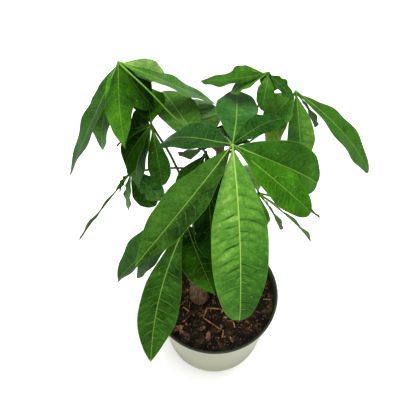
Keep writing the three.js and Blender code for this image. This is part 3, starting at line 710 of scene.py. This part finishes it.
def leaflet_skin(settings):
    """A waxy leaflet: satin green, pale midrib and side veins, a paler matte under face."""
    material, put = new_material("money tree leaflet")
    (shade, warmth, lean, tip_light_share, olive, quilt, across, face, phase, rib_distance, along,
     midrib) = (
        put(("ShaderNodeAttribute", {"attribute_name": name}), None, "Fac") for name in (
            *SKIN_NUMBERS, "quilt", "across", "face", "vein_phase", "rib_distance", "along",
            "midrib"))
    far = put(ABS, [across])
    spot = put("ShaderNodeTexCoord", None, "Object")
    # Growth varies, with painted sheen in its lighter patches, over about 16 mm; it mottles over 2
    # mm, and folds come and go over 8 mm.
    broad = put(NOISE, {"Vector": spot, "Scale": 1 / (16 * MM)})
    mottle = put(NOISE, {"Vector": spot, "Scale": 1 / (2 * MM), "Detail": 3.0})
    folds = put(NOISE, {"Vector": spot, "Scale": 1 / (8 * MM)})
    uneven = put(MAP_RANGE, [folds, 0.42, 0.62, 0.05, 1.0])
    # The blade swells between its side veins, and each swelling has painted light on its crown and
    # painted shade towards its veins.
    swelling = put(ABS, [put(SINE, [put(TIMES, (phase, math.pi))])])
    crown = chain(put, TIMES, put(MAP_RANGE, [swelling, 0.0, 1.0, -0.1, 0.08]), quilt, uneven)
    tone = chain(
        put, PLUS, shade,
        put(TIMES, (put(MINUS, (broad, 0.5)), 0.46)),
        put(TIMES, (put(MINUS, (mottle, 0.5)), 0.36)),
        # Painted light lightens one half of the blade, and painted light and shade lighten or darken
        # its tip as each row says.
        put(TIMES, (put(MAP_RANGE, [across, -0.3, 0.3, -1.0, 1.0]), lean)),
        put(TIMES, (put(MAP_RANGE, [along, 0.15, 0.85, -1.0, 1.0]), tip_light_share)),
        crown)
    cool = with_stops(put("ShaderNodeValToRGB", [tone]), [
        (0.0, "#04130a"), (0.25, "#11290f"), (0.5, "#244d1b"), (0.75, "#43712f"),
        (1.0, "#7c9b5c")])
    warm = with_stops(put("ShaderNodeValToRGB", [tone]), [
        (0.0, "#051602"), (0.25, "#193806"), (0.5, settings.green), (0.75, "#51841a"),
        (1.0, "#8eab41")])
    skin = under_coats(put, cool, (warmth, warm))
    browner = put(VECTOR_TIMES, (skin, (1.3, 0.97, 1.1)))

    # Side veins are sunk about 0.5 mm wide: a faint pale line with painted shade in the crease
    # beside it, and both come and go along the blade.
    turned = put(FRACTION, [put(PLUS, (phase, 0.5))])
    off_vein, off_crease = (put(ABS, [put(MINUS, (turned, at))]) for at in (0.5, 0.57))
    vein_fade = put(MINUS, (1.0, put(POWER, (far, 2.0))))
    vein = put(TIMES, (put(MAP_RANGE, [off_vein, 0.015, 0.06, 1.0, 0.0]), vein_fade))
    pale = chain(put, TIMES, vein, put(MAP_RANGE, [broad, 0.38, 0.62, 0.28, 0.04]),
                 put(MAP_RANGE, [quilt, 0.0, 1.0, 0.35, 1.25]),
                 put(MAP_RANGE, [shade, 0.05, 0.35, 0.1, 1.0]))
    crease_shade = chain(put, TIMES, put(MAP_RANGE, [off_crease, 0.01, 0.12, 1.0, 0.0]), quilt, uneven,
                   vein_fade)
    # The midrib tapers from 1.1 mm to 0.4 mm, and is dimmer on a dark or a small blade.
    rib_width = put(TIMES, (put(MAP_RANGE, [along, 0.0, 1.0, 0.55 * MM, 0.2 * MM]), midrib))
    inside_rib = put(OVER, (rib_distance, rib_width))
    rib = chain(put, TIMES, put(MAP_RANGE, [inside_rib, 0.6, 1.3, 1.0, 0.0]),
                put(MAP_RANGE, [shade, 0.0, 0.6, 0.08, 0.75]), midrib)
    # Dried drops leave pale flecks about 0.8 mm across, some 9 mm apart.
    drops = put(SPOTS, {"Vector": spot, "Scale": 1 / (9 * MM)})
    skin = under_coats(
        # The dark green laid in each crease is painted shade.
        put, skin, (olive, browner), (pale, settings.vein), (crease_shade, "#102a08"),
        (rib, settings.vein),
        # The margin is a thin bright line.
        (put(MAP_RANGE, [far, 0.965, 0.995, 0.0, 0.35]), "#62922e"),
        (put(MAP_RANGE, [drops, 0.03, 0.06, 0.3, 0.0]), "#a3b88c"),
        (put(MAP_RANGE, [face, -0.02, 0.02, 0.62, 0.0]), settings.underside))

    # A net of fine veins, 1.8 mm, and the side veins sunk between them.
    net = put(("ShaderNodeTexVoronoi", {"feature": "DISTANCE_TO_EDGE"}),
              {"Vector": spot, "Scale": 1 / (1.8 * MM)})
    relief = put(MINUS, (put(LEAST, (net, 0.2)), put(TIMES, (vein, 0.6))))
    return painted(material, {
        "Base Color": skin, "Roughness": put(MAP_RANGE, [face, -0.02, 0.02, 0.62, 0.45]),
        "IOR": 1.42,
        # A dark blade in the crown's shade has next to no sheen.
        "Specular IOR Level": put(MAP_RANGE, [shade, 0.3, 0.65, 0.0, 0.05]),
        "Normal": put(BUMP, {"Strength": 0.35, "Distance": 0.3 * MM, "Height": relief})})


def petiole_skin():
    """A smooth green stalk: waxy, lighter where it is young, and painted darker and browner where it
    stands in the crown's shade.
    """
    material, put = new_material("money tree petiole")
    shade = put(("ShaderNodeAttribute", {"attribute_name": "shade"}), None, "Fac")
    spot = put("ShaderNodeTexCoord", None, "Object")
    # Growth streaks, 3 mm.
    streak = put(NOISE, {"Vector": spot, "Scale": 1 / (3 * MM), "Detail": 3.0})
    tone = put(PLUS, (shade, put(TIMES, (put(MINUS, (streak, 0.5)), 0.3))))
    return painted(material, {
        "Base Color": with_stops(put("ShaderNodeValToRGB", [tone]), [
            (0.0, "#1b1d0b"), (0.3, "#2f4214"), (0.6, "#5d8f22"), (0.9, "#8fbc38")]),
        "Roughness": 0.42, "Specular IOR Level": 0.1})


# ---- Pot ----

def pot_radius(height):
    """Radius of the pot's outside at a height."""
    return POT["foot"] + (POT["body_top"] - POT["foot"]) * height / POT["height"]


def pot_profile(rim_round):
    """Points (radius, height, inner) from the middle of the underside round to the floor."""
    floor = POT["recess"] + POT["wall"]
    top, lip = POT["height"], POT["height"] - POT["rim_thickness"]
    slope, step, ring = 1.5, 0.25, 16.0
    outer = [
        (0, 0), (POT["pad"] - 0.4, 0), (POT["pad"], 0.1), (POT["pad"] + slope, POT["recess"]),
        (POT["ring_inner"] - slope, POT["recess"]), (POT["ring_inner"] - 0.1, 0.2),
        (POT["ring_inner"] + 0.4, 0), (POT["foot"] - 1.4, 0), (POT["foot"] - 0.6, 0.15),
        (POT["foot"] - 0.15, 0.6), (POT["foot"] + 0.12, 1.3),
    ]
    # A shallow step where the sheet was drawn over the mould's stacking ring.
    outer += [(pot_radius(h), h) for h in (4, 8, ring - 1)]
    outer += [(pot_radius(h) - step, h) for h in (ring + 0.4, 30, 45, 60, 75, top - 9)]
    outer += [(pot_radius(h), h) for h in (top - 8, top - 4, lip - 0.8)]
    outer.append((pot_radius(lip) + 0.3, lip))
    shoulder = [(POT["rim"] - rim_round, lip)]
    bead = POT["rim_thickness"] / 2
    arc = [
        (POT["rim"] - rim_round + rim_round * math.cos(a), top - bead + bead * math.sin(a))
        for a in np.linspace(-math.pi / 2, math.pi / 2, 9)
    ]
    wall_in = [(pot_radius(h) - POT["wall"], h) for h in (top - 0.6, 85, 60, 30, floor + 2)]
    inner = [
        *arc[3:], (pot_radius(top) - POT["wall"] + 0.5, top), *wall_in,
        (pot_radius(floor) - POT["wall"] - 1.5, floor), (0, floor),
    ]
    rows = [(r, h, 0.0) for r, h in outer + shoulder + arc[1:3]] + [(r, h, 1.0) for r, h in inner]
    return np.array(rows)


def pot_tree():
    """Turns a profile round the Z axis and drills a ring of drain holes through it."""
    tree, put, given = geometry_tree("Turned pot", {
        "Segments": 144, "Drain holes": 6, "Drain circle": 0.025, "Drain radius": 0.0035,
        "Outside": "Material", "Inside": "Material",
    })
    path = put(CIRCLE, {"Resolution": given["Segments"], "Radius": 1.0})
    path = put(STORE_VECTOR, {"Geometry": path, "Name": "bearing",
                              "Value": put("GeometryNodeInputPosition")})
    profile = put("GeometryNodeMeshToCurve", {"Mesh": given["Geometry"]})
    turned = put("GeometryNodeCurveToMesh", {"Curve": path, "Profile Curve": profile})
    out = put(SCALED, {0: put(READ_VECTOR, {"Name": "bearing"}),
                       "Scale": put(READ, {"Name": "reach"})})
    up = put("ShaderNodeCombineXYZ", {"Z": put(READ, {"Name": "level"})})
    turned = put(MOVE, {"Geometry": turned, "Position": put(VECTOR_PLUS, (out, up))})
    turned = put("GeometryNodeMergeByDistance", {"Geometry": turned, "Distance": 0.01 * MM})
    drill = put("GeometryNodeMeshCylinder",
                {"Vertices": 24, "Radius": given["Drain radius"], "Depth": 20 * MM})
    ring = put(CIRCLE, {"Resolution": given["Drain holes"], "Radius": given["Drain circle"]})
    drills = put("GeometryNodeInstanceOnPoints", {"Points": ring, "Instance": drill})
    drills = put("GeometryNodeRealizeInstances", {"Geometry": drills})
    drilled = put(("GeometryNodeMeshBoolean", {"operation": "DIFFERENCE"}),
                  {"Mesh 1": turned, "Mesh 2": drills})
    is_inside = put(ABOVE, [put(READ, {"Name": "inner"}), 0.5])
    end_tree(put, put(SMOOTH, {"Geometry": drilled}),
             (given["Outside"], None), (given["Inside"], is_inside))
    return tree


class MONEYTREE_OT_pot(bpy.types.Operator):
    """Makes the thermoformed nursery pot"""

    bl_idname = "money_tree.make_pot"
    bl_label = "Make pot"

    def execute(self, context):
        settings = context.scene.money_tree.pot
        rows = pot_profile(settings.rim_round / MM)
        places = [(r * MM, 0, h * MM) for r, h, _ in rows]
        edges = [(i, i + 1) for i in range(len(rows) - 1)]
        profile = points_mesh("pot_profile", places, {
            "reach": rows[:, 0] * MM, "level": rows[:, 1] * MM, "inner": rows[:, 2]}, edges)
        pot = grown("pot_shell", profile, pot_tree(), {
            "Segments": settings.segments, "Drain holes": POT["drains"],
            "Drain circle": POT["drain_circle"] * MM, "Drain radius": POT["drain"] * MM,
            "Outside": cream_polypropylene(settings), "Inside": dark_polypropylene(settings)})
        pot.data.set_sharp_from_angle(angle=math.radians(50))
        place(pot, "pot_plastic", "pot")
        return {"FINISHED"}


# ---- Soil ----

def soil_relief(x, y):
    """Height of the soil's clods at a place, in millimetres."""
    long_wave = np.sin(x / CLODS["long_x"]) * np.cos(y / CLODS["long_y"])
    short_wave = np.sin(x / CLODS["short_x"] - y / CLODS["short_y"])
    return CLODS["long_height"] * long_wave + CLODS["short_height"] * short_wave


def soil_body(name):
    """The filled soil as a closed turned body with a finely divided top."""
    segments, rings = 132, 46
    gap = 0.3
    bottom = POT["recess"] + POT["wall"] + gap
    edge = pot_radius(SOIL_TOP) - POT["wall"] - gap
    radii = [0.0, pot_radius(bottom) - POT["wall"] - gap]
    radii += [edge * (1 - ring / rings) for ring in range(rings)]
    levels = [bottom, bottom] + [SOIL_TOP] * rings
    angles = 2 * math.pi * np.arange(segments) / segments
    shape = bmesh.new()
    foot = shape.verts.new((0, 0, bottom * MM))
    loops = []
    for radius, level in list(zip(radii, levels))[1:]:
        xs, ys = radius * np.cos(angles), radius * np.sin(angles)
        rise = soil_relief(xs, ys) if level == SOIL_TOP and radius < edge - 1 else 0 * xs
        loops.append([shape.verts.new((x * MM, y * MM, (level + r) * MM))
                      for x, y, r in zip(xs, ys, rise)])
    crown = shape.verts.new((0, 0, (SOIL_TOP + float(soil_relief(0.0, 0.0))) * MM))
    for i in range(segments):
        j = (i + 1) % segments
        shape.faces.new((foot, loops[0][j], loops[0][i]))
        shape.faces.new((crown, loops[-1][i], loops[-1][j]))
        for low, high in zip(loops, loops[1:]):
            shape.faces.new((low[i], low[j], high[j], high[i]))
    return linked(name, shape)


def clod_tree():
    """Raises fine clods on the top of the soil."""
    tree, put, given = geometry_tree("Peat clods", {
        "Clod height": 0.0016, "Clod size": 0.004, "Top": 0.086, "Peat": "Material"})
    spot = put("GeometryNodeInputPosition")
    level = put("ShaderNodeSeparateXYZ", [spot], "Z")
    on_top = put(ABOVE, [level, put(MINUS, (given["Top"], 3 * MM))])
    grains = put(NOISE, {"Vector": spot, "Scale": put(OVER, (1.0, given["Clod size"])),
                         "Detail": 4.0, "Roughness": 0.65})
    rise = chain(put, TIMES, put(MINUS, (grains, 0.5)), given["Clod height"], 2.0)
    raised = put(MOVE, {"Geometry": given["Geometry"], "Selection": on_top,
                        "Offset": put("ShaderNodeCombineXYZ", {"Z": rise})})
    end_tree(put, put(SMOOTH, {"Geometry": raised}), (given["Peat"], None))
    return tree


def litter_tree():
    """Sets a copy of a small piece at every point, turned and stretched as the point says."""
    tree, put, given = geometry_tree("Litter", {"Piece": "Object", "Material": "Material"})
    piece = put("GeometryNodeObjectInfo", {"Object": given["Piece"]}, "Geometry")
    turn, stretch = (put(READ_VECTOR, {"Name": name}) for name in ("turn", "stretch"))
    points = put("GeometryNodeMeshToPoints", {"Mesh": given["Geometry"]})
    copies = put("GeometryNodeInstanceOnPoints", {
        "Points": points, "Instance": piece, "Scale": stretch,
        "Rotation": put("FunctionNodeEulerToRotation", [turn])})
    end_tree(put, copies, (given["Material"], None))
    return tree


def rough_grain(name, draw, subdivisions, flatness):
    """A broken, irregular grain about 2 units across, and flatter in height."""
    shape = bmesh.new()
    bmesh.ops.create_icosphere(shape, subdivisions=subdivisions, radius=1.0)
    for vertex in shape.verts:
        vertex.co *= draw.uniform(0.72, 1.12)
        vertex.co.z *= flatness
    return linked(name, shape)


def bent_fibre(name):
    """A thin fibre 2 units long along X, bowed and pointed."""
    shape = bmesh.new()
    sides, rings = 5, []
    for x in np.linspace(-1, 1, 7):
        thin = 0.4 + 0.6 * math.sqrt(max(0.0, 1 - x * x))
        bow = 0.16 * (1 - x * x)
        rings.append([
            shape.verts.new((x, bow + thin * math.cos(a), thin * math.sin(a)))
            for a in np.arange(sides) * 2 * math.pi / sides
        ])
    for low, high in zip(rings, rings[1:]):
        for i in range(sides):
            j = (i + 1) % sides
            shape.faces.new((low[i], low[j], high[j], high[i]))
    shape.faces.new(rings[0])
    shape.faces.new(rings[-1])
    return linked(name, shape)


def scattered(draw, count, low, high, tilt, reach=52.0, clear=8.5):
    """Places, turns and half-sizes of litter strewn over the soil, clear of the trunks."""
    trunks = [TRUNKS[name]["line"][0][:2] for name in TRUNKS]
    places, turns, sizes = [], [], []
    while len(places) < count:
        angle, radius = draw.uniform(0, 2 * math.pi), reach * math.sqrt(draw.random())
        x, y = radius * math.cos(angle), radius * math.sin(angle)
        if min(math.hypot(x - a, y - b) for a, b in trunks) < clear:
            continue
        places.append((x, y))
        turns.append((draw.uniform(-tilt, tilt), draw.uniform(-tilt, tilt),
                      draw.uniform(0, 2 * math.pi)))
        sizes.append(draw.uniform(0, 1) ** 2 * (high - low) + low)
    return places, turns, sizes


def litter(name, piece, places, turns, stretches, lift, tree, material):
    """One piece of the model made of many copies lying on the soil."""
    xy = np.array(places, float)
    z = SOIL_TOP + soil_relief(xy[:, 0], xy[:, 1]) + lift
    points = points_mesh(name + "_points", np.column_stack([xy, z]) * MM,
                         {"turn": np.array(turns), "stretch": np.array(stretches) * MM})
    place(grown(name, points, tree, {"Piece": piece, "Material": material}), "soil")
    bpy.data.objects.remove(piece)


class MONEYTREE_OT_soil(bpy.types.Operator):
    """Makes the soil and the crumbs, bark chips and fibres that lie on it"""

    bl_idname = "money_tree.make_soil"
    bl_label = "Make soil"

    def execute(self, context):
        settings = context.scene.money_tree.soil
        draw = random.Random(settings.seed)
        # The grain is the size of each one's own fine pattern, in millimetres like its relief.
        peat = grain_material("moist peat", "#050302", settings.peat, "#3a2d1a",
                              grain=1.4, roughness=0.95, relief=0.8)
        crumb = grain_material("dry peat crumb", "#0c0804", settings.crumb, "#7c6646",
                               grain=1.2, roughness=0.95, relief=0.6)
        bark = grain_material("composted pine bark", "#1f120b", settings.bark_chip, "#9a755a",
                              grain=1.1, roughness=0.85, relief=0.5)
        straw = grain_material("coir fibre", "#4e331b", settings.fibre, "#a17a51",
                               grain=2.0, roughness=0.8, relief=0.2)
        soil = grown("soil_fill", soil_body("soil_body"), clod_tree(), {
            "Clod height": settings.clod, "Clod size": 3.2 * MM, "Top": SOIL_TOP * MM,
            "Peat": peat})
        place(soil, "soil", "soil")

        tree = litter_tree()
        places, turns, sizes = scattered(draw, settings.crumbs, low=0.45, high=1.9, tilt=math.pi)
        stretches = [(s, s * 0.8, s * 0.75) for s in sizes]
        litter("peat_crumbs", rough_grain("crumb", draw, subdivisions=1, flatness=0.85), places,
               turns, stretches, LITTER_LIFT["crumb"], tree, crumb)
        places, turns, sizes = scattered(draw, settings.chips, low=0.8, high=3.0, tilt=0.6)
        stretches = [(s, s * draw.uniform(0.35, 0.7), s * 0.42) for s in sizes]
        for at, size, turn in CHIPS:
            places.append(at)
            turns.append((0.15, -0.1, math.radians(turn)))
            stretches.append((size, size * 0.5, size * 0.42))
        litter("bark_chips", rough_grain("chip", draw, subdivisions=2, flatness=0.55), places,
               turns, stretches, LITTER_LIFT["chip"], tree, bark)
        places, turns, sizes = scattered(draw, settings.fibres, low=1.5, high=5.0, tilt=0.18,
                                         reach=50.0)
        stretches = [(s, draw.uniform(0.2, 0.35), 0.25) for s in sizes]
        for (x0, y0), (x1, y1) in FIBRES:
            places.append(((x0 + x1) / 2, (y0 + y1) / 2))
            turns.append((0, 0, math.atan2(y1 - y0, x1 - x0)))
            stretches.append((math.hypot(x1 - x0, y1 - y0) / 2, 0.75, 0.6))
        litter("coir_fibres", bent_fibre("fibre"), places, turns, stretches,
               LITTER_LIFT["fibre"], tree, straw)
        return {"FINISHED"}


# ---- Trunks ----

def trunk_rows(name, settings):
    """Sweep rows of a trunk: its girth, with ridged leaf scars up its upper half."""
    data = TRUNKS[name]
    draw = random.Random(data["seed"])
    line = smooth_line(data["line"], settings.steps)
    share = np.linspace(0, 1, settings.steps)
    height = line[:, 2] - SOIL_TOP
    marks, girths = zip(*TRUNK_GIRTH)
    radii = data["girth"] * np.interp(height, marks, girths)
    # The tip closes over in a dome, and the end in the soil narrows.
    dome, root = 2.2, 12
    walked = share * np.linalg.norm(np.diff(line, axis=0), axis=1).sum()
    from_tip = walked[-1] - walked
    radii *= np.sqrt(np.clip(1 - np.clip(1 - from_tip / dome, 0, 1) ** 2, 0.01, 1))
    radii *= np.clip(0.6 + 0.4 * walked / root, 0, 1)
    scar = np.zeros(settings.steps)
    at = SCARS["from"]
    while at < height[-1] - 2:
        radii += SCARS["ridge"] * np.exp(-((height - at) / SCARS["ridge_width"]) ** 2)
        line_share = np.exp(-((height - at + SCARS["line_below"]) / SCARS["line_width"]) ** 2)
        scar = np.maximum(scar, SCARS["line_depth"] * line_share)
        at += draw.uniform(*SCARS["apart"])
    return round_rows(line, radii, shade=scar, warmth=share)


class MONEYTREE_OT_trunks(bpy.types.Operator):
    """Makes the two trunks"""

    bl_idname = "money_tree.make_trunks"
    bl_label = "Make trunks"

    def execute(self, context):
        settings = context.scene.money_tree.trunk
        bark = young_bark(settings)
        tree = sweep_tree()
        for name in TRUNKS:
            skeleton = sweep_skeleton(name + "_line", [trunk_rows(name, settings)])
            trunk = grown(name + "_bark", skeleton, tree, {
                "Points around": settings.sides, "Lumps": settings.lumps, "Lump size": 7 * MM,
                "Blade": bark, "Stalk": bark})
            place(trunk, "bark", name)
        return {"FINISHED"}


# ---- Leaves ----

def heading(leaf, s):
    """The way a leaflet runs at shares s of its length, and level across it.

    It droops ever more towards its tip, and is swayed evenly.
    """
    pitch = np.radians(leaf["pitch"] - leaf["bend"] * (0.4 * s + 0.6 * s * s))
    turn = np.radians(leaf["turn"] + leaf["sway"] * s)
    along = np.column_stack([np.cos(pitch) * np.cos(turn), np.cos(pitch) * np.sin(turn),
                             np.sin(pitch)])
    across = np.column_stack([-np.sin(turn), np.cos(turn), 0 * turn])
    return along, across


def leaflet_rows(hub, leaf, index, settings):
    """Sweep rows of one leaflet, from its stalked root to its point."""
    # Rows stand closer at both ends.
    t = np.linspace(0, 1, settings.steps)
    s = 0.8 * t + 0.2 * (0.5 - 0.5 * np.cos(math.pi * t))
    s = np.concatenate([[-ROOTED / leaf["length"]], s])
    middle = (s[1:] + s[:-1]) / 2
    steps = heading(leaf, middle)[0] * np.diff(s)[:, None] * leaf["length"]
    along, across = heading(leaf, s)
    start = np.array(hub) + along[0] * (BLADE_START - ROOTED)
    spine = start + np.vstack([np.zeros(3), np.cumsum(steps, 0)])
    roll = np.radians(leaf["roll"] * np.clip(s / 0.25, 0, 1))[:, None]
    side = across * np.cos(roll) + np.cross(along, across) * np.sin(roll)
    up = np.cross(along, side)

    powers = ROOT_POWER + (leaf["tip_power"] - ROOT_POWER) * s
    fullness = np.sin(math.pi * np.clip(s, 0, 0.99999) ** leaf["skew"]) ** powers
    half = leaf["width"] / 2 * fullness
    half = np.maximum(half, np.where(s < 0.5, ENDS["root"], ENDS["tip"]))
    half[0] = ENDS["in_knob"]
    fold = math.radians(leaf["fold"])
    wave = EDGE_WAVE["height"] * fullness * np.sin(
        2 * math.pi * (EDGE_WAVE["count"] * s + index * EDGE_WAVE["phase_step"]))
    # The blade thins over its last twentieth or so.
    blade = settings.thickness / MM / 2 * np.clip((1 - s) / 0.06, 0.35, 1)
    thick = np.maximum(blade, ENDS["root_thick"] - ENDS["root_thins"] * s)
    return {
        "spine": spine * MM, "side": side, "up": up, "spread": half * math.cos(fold) * MM,
        "lift": half * math.sin(fold) * MM, "wave": wave * MM, "thick": thick * MM, "along": s,
        "quilt": np.clip(fullness * 1.2 - 0.1, 0, 1) * leaf.get("ribbing", PLAIN_RIBBING),
        "veins": s * leaf["length"] * MM / settings.vein_spacing,
        "shade": leaf["shade"], "warmth": leaf["warmth"], "lean": leaf.get("lean", 0),
        "fade": leaf.get("fade", 0), "olive": leaf.get("olive", 0),
        # A small leaflet has a finer and fainter midrib.
        "midrib": np.clip(math.sqrt(leaf["width"] * leaf["length"] / MIDRIB_AREA), 0.5, 1),
    }


def petiole_rows(leaf):
    """Sweep rows of the stalk from the trunk's middle to the knob that carries the leaflets."""
    trunk = smooth_line(TRUNKS[leaf["trunk"]]["line"], count=200)
    foot = trunk[np.argmin(np.abs(trunk[:, 2] - leaf["foot"]))]
    line = smooth_line([foot, *leaf["via"], leaf["hub"]], count=60)
    share = np.linspace(0, 1, len(line))
    near_foot = np.clip(1 - share / (2 * PETIOLE["foot_length"]), 0, 1)
    near_joint = np.clip((share - 1) / (2 * PETIOLE["joint_length"]) + 1, 0, 1)
    radii = leaf.get("stalk_girth", 1) * (
        PETIOLE["shaft"] + (PETIOLE["foot"] - PETIOLE["shaft"]) * near_foot
        + (PETIOLE["joint"] - PETIOLE["shaft"]) * near_joint)
    end = line[-1] - line[-2]
    end /= np.linalg.norm(end)
    knob = np.array(KNOB)
    line = np.vstack([line, line[-1] + end * knob[:, :1]])
    radii = np.concatenate([radii, knob[:, 1]])
    # A stalk is about half as light at its old foot as at its hub.
    young = np.clip(np.linspace(-0.1, 1, len(line)), 0, 1)
    return round_rows(line, radii, shade=leaf["stalk_shade"] * (0.55 + 0.45 * young))


class MONEYTREE_OT_leaves(bpy.types.Operator):
    """Makes the leaves, each a petiole and its crown of leaflets"""

    bl_idname = "money_tree.make_leaves"
    bl_label = "Make leaves"

    def execute(self, context):
        settings = context.scene.money_tree.leaf
        skin, stalk = leaflet_skin(settings), petiole_skin()
        tree = sweep_tree()
        for name, leaf in LEAVES.items():
            strands = [petiole_rows(leaf)]
            for index, values in enumerate(leaf["leaflets"]):
                leaflet = dict(zip(LEAFLET_KEYS, values))
                strands.append(leaflet_rows(leaf["hub"], leaflet, index, settings))
            made = grown(name + "_foliage", sweep_skeleton(name + "_lines", strands), tree, {
                "Points around": settings.around, "Quilting": settings.quilting,
                "Rib height": settings.rib_height, "Rib half-width": 1.1 * MM,
                "Vein slant": 0.24, "Vein spacing": settings.vein_spacing,
                "Blade": skin, "Stalk": stalk})
            place(made, "leaf", name)
        return {"FINISHED"}


# ---- Stage ----

class MONEYTREE_OT_stage(bpy.types.Operator):
    """Makes the pale floor, the soft light and the camera"""

    bl_idname = "money_tree.make_stage"
    bl_label = "Make stage"

    def execute(self, context):
        scene = context.scene
        settings = scene.money_tree.stage
        half = settings.floor_size / 2
        mesh = bpy.data.meshes.new("floor")
        mesh.from_pydata([(-half, -half, 0), (half, -half, 0), (half, half, 0), (-half, half, 0)],
                         [], [(0, 1, 2, 3)])
        mesh.materials.append(painted(new_material("matte pale paint")[0], {
            "Base Color": settings.floor, "Roughness": 0.9}))
        linked("floor", mesh)

        world = bpy.data.worlds.new("Even studio light")
        world.use_nodes = True
        background = world.node_tree.nodes["Background"]
        background.inputs["Color"].default_value = (1, 1, 1, 1)
        background.inputs["Strength"].default_value = settings.sky
        scene.world = world
        for name, (spot, width, share) in LAMPS.items():
            lamp = bpy.data.lights.new(name, "AREA")
            lamp.size = width
            lamp.energy = settings.key_power * share
            light = linked(name, lamp)
            light.location = spot
            aim = Vector(LAMPS_AIM) - light.location
            light.rotation_euler = aim.to_track_quat("-Z", "Y").to_euler()

        lens = bpy.data.cameras.new("Camera")
        lens.sensor_width = CAMERA["sensor"]
        lens.lens = CAMERA["focal_pixels"] / CAMERA["frame_pixels"] * CAMERA["sensor"]
        camera = linked("Camera", lens)
        camera.location = CAMERA["place"]
        tilt = Matrix.Rotation(math.radians(90 - CAMERA["down"]), 4, "X")
        roll = Matrix.Rotation(math.radians(CAMERA["roll"]), 4, "Z")
        camera.rotation_euler = (tilt @ roll).to_euler()
        scene.camera = camera
        scene.view_settings.view_transform = "Standard"
        return {"FINISHED"}


# ---- Panel and registration ----

class MONEYTREE_PT_panel(bpy.types.Panel):
    """The money tree's settings and the buttons that make its pieces"""

    bl_idname = "MONEYTREE_PT_panel"
    bl_label = "Money tree"
    bl_space_type = "VIEW_3D"
    bl_region_type = "UI"
    bl_category = "Money tree"

    def draw(self, context):
        settings = context.scene.money_tree
        for label, operator in STEPS:
            box = self.layout.box()
            box.operator(operator.bl_idname)
            group = getattr(settings, label)
            for key in group.__annotations__:
                box.prop(group, key)


STEPS = (("pot", MONEYTREE_OT_pot), ("soil", MONEYTREE_OT_soil), ("trunk", MONEYTREE_OT_trunks),
         ("leaf", MONEYTREE_OT_leaves), ("stage", MONEYTREE_OT_stage))
CLASSES = (PotSettings, SoilSettings, TrunkSettings, LeafSettings, StageSettings,
           MoneyTreeSettings, MONEYTREE_OT_pot, MONEYTREE_OT_soil, MONEYTREE_OT_trunks,
           MONEYTREE_OT_leaves, MONEYTREE_OT_stage, MONEYTREE_PT_panel)


def register():
    for entry in CLASSES:
        bpy.utils.register_class(entry)
    bpy.types.Scene.money_tree = PointerProperty(type=MoneyTreeSettings)


def unregister():
    del bpy.types.Scene.money_tree
    for entry in reversed(CLASSES):
        bpy.utils.unregister_class(entry)


def main():
    register()
    bpy.ops.money_tree.make_pot()
    bpy.ops.money_tree.make_soil()
    bpy.ops.money_tree.make_trunks()
    bpy.ops.money_tree.make_leaves()
    bpy.ops.money_tree.make_stage()


if __name__ == "__main__":
    main()
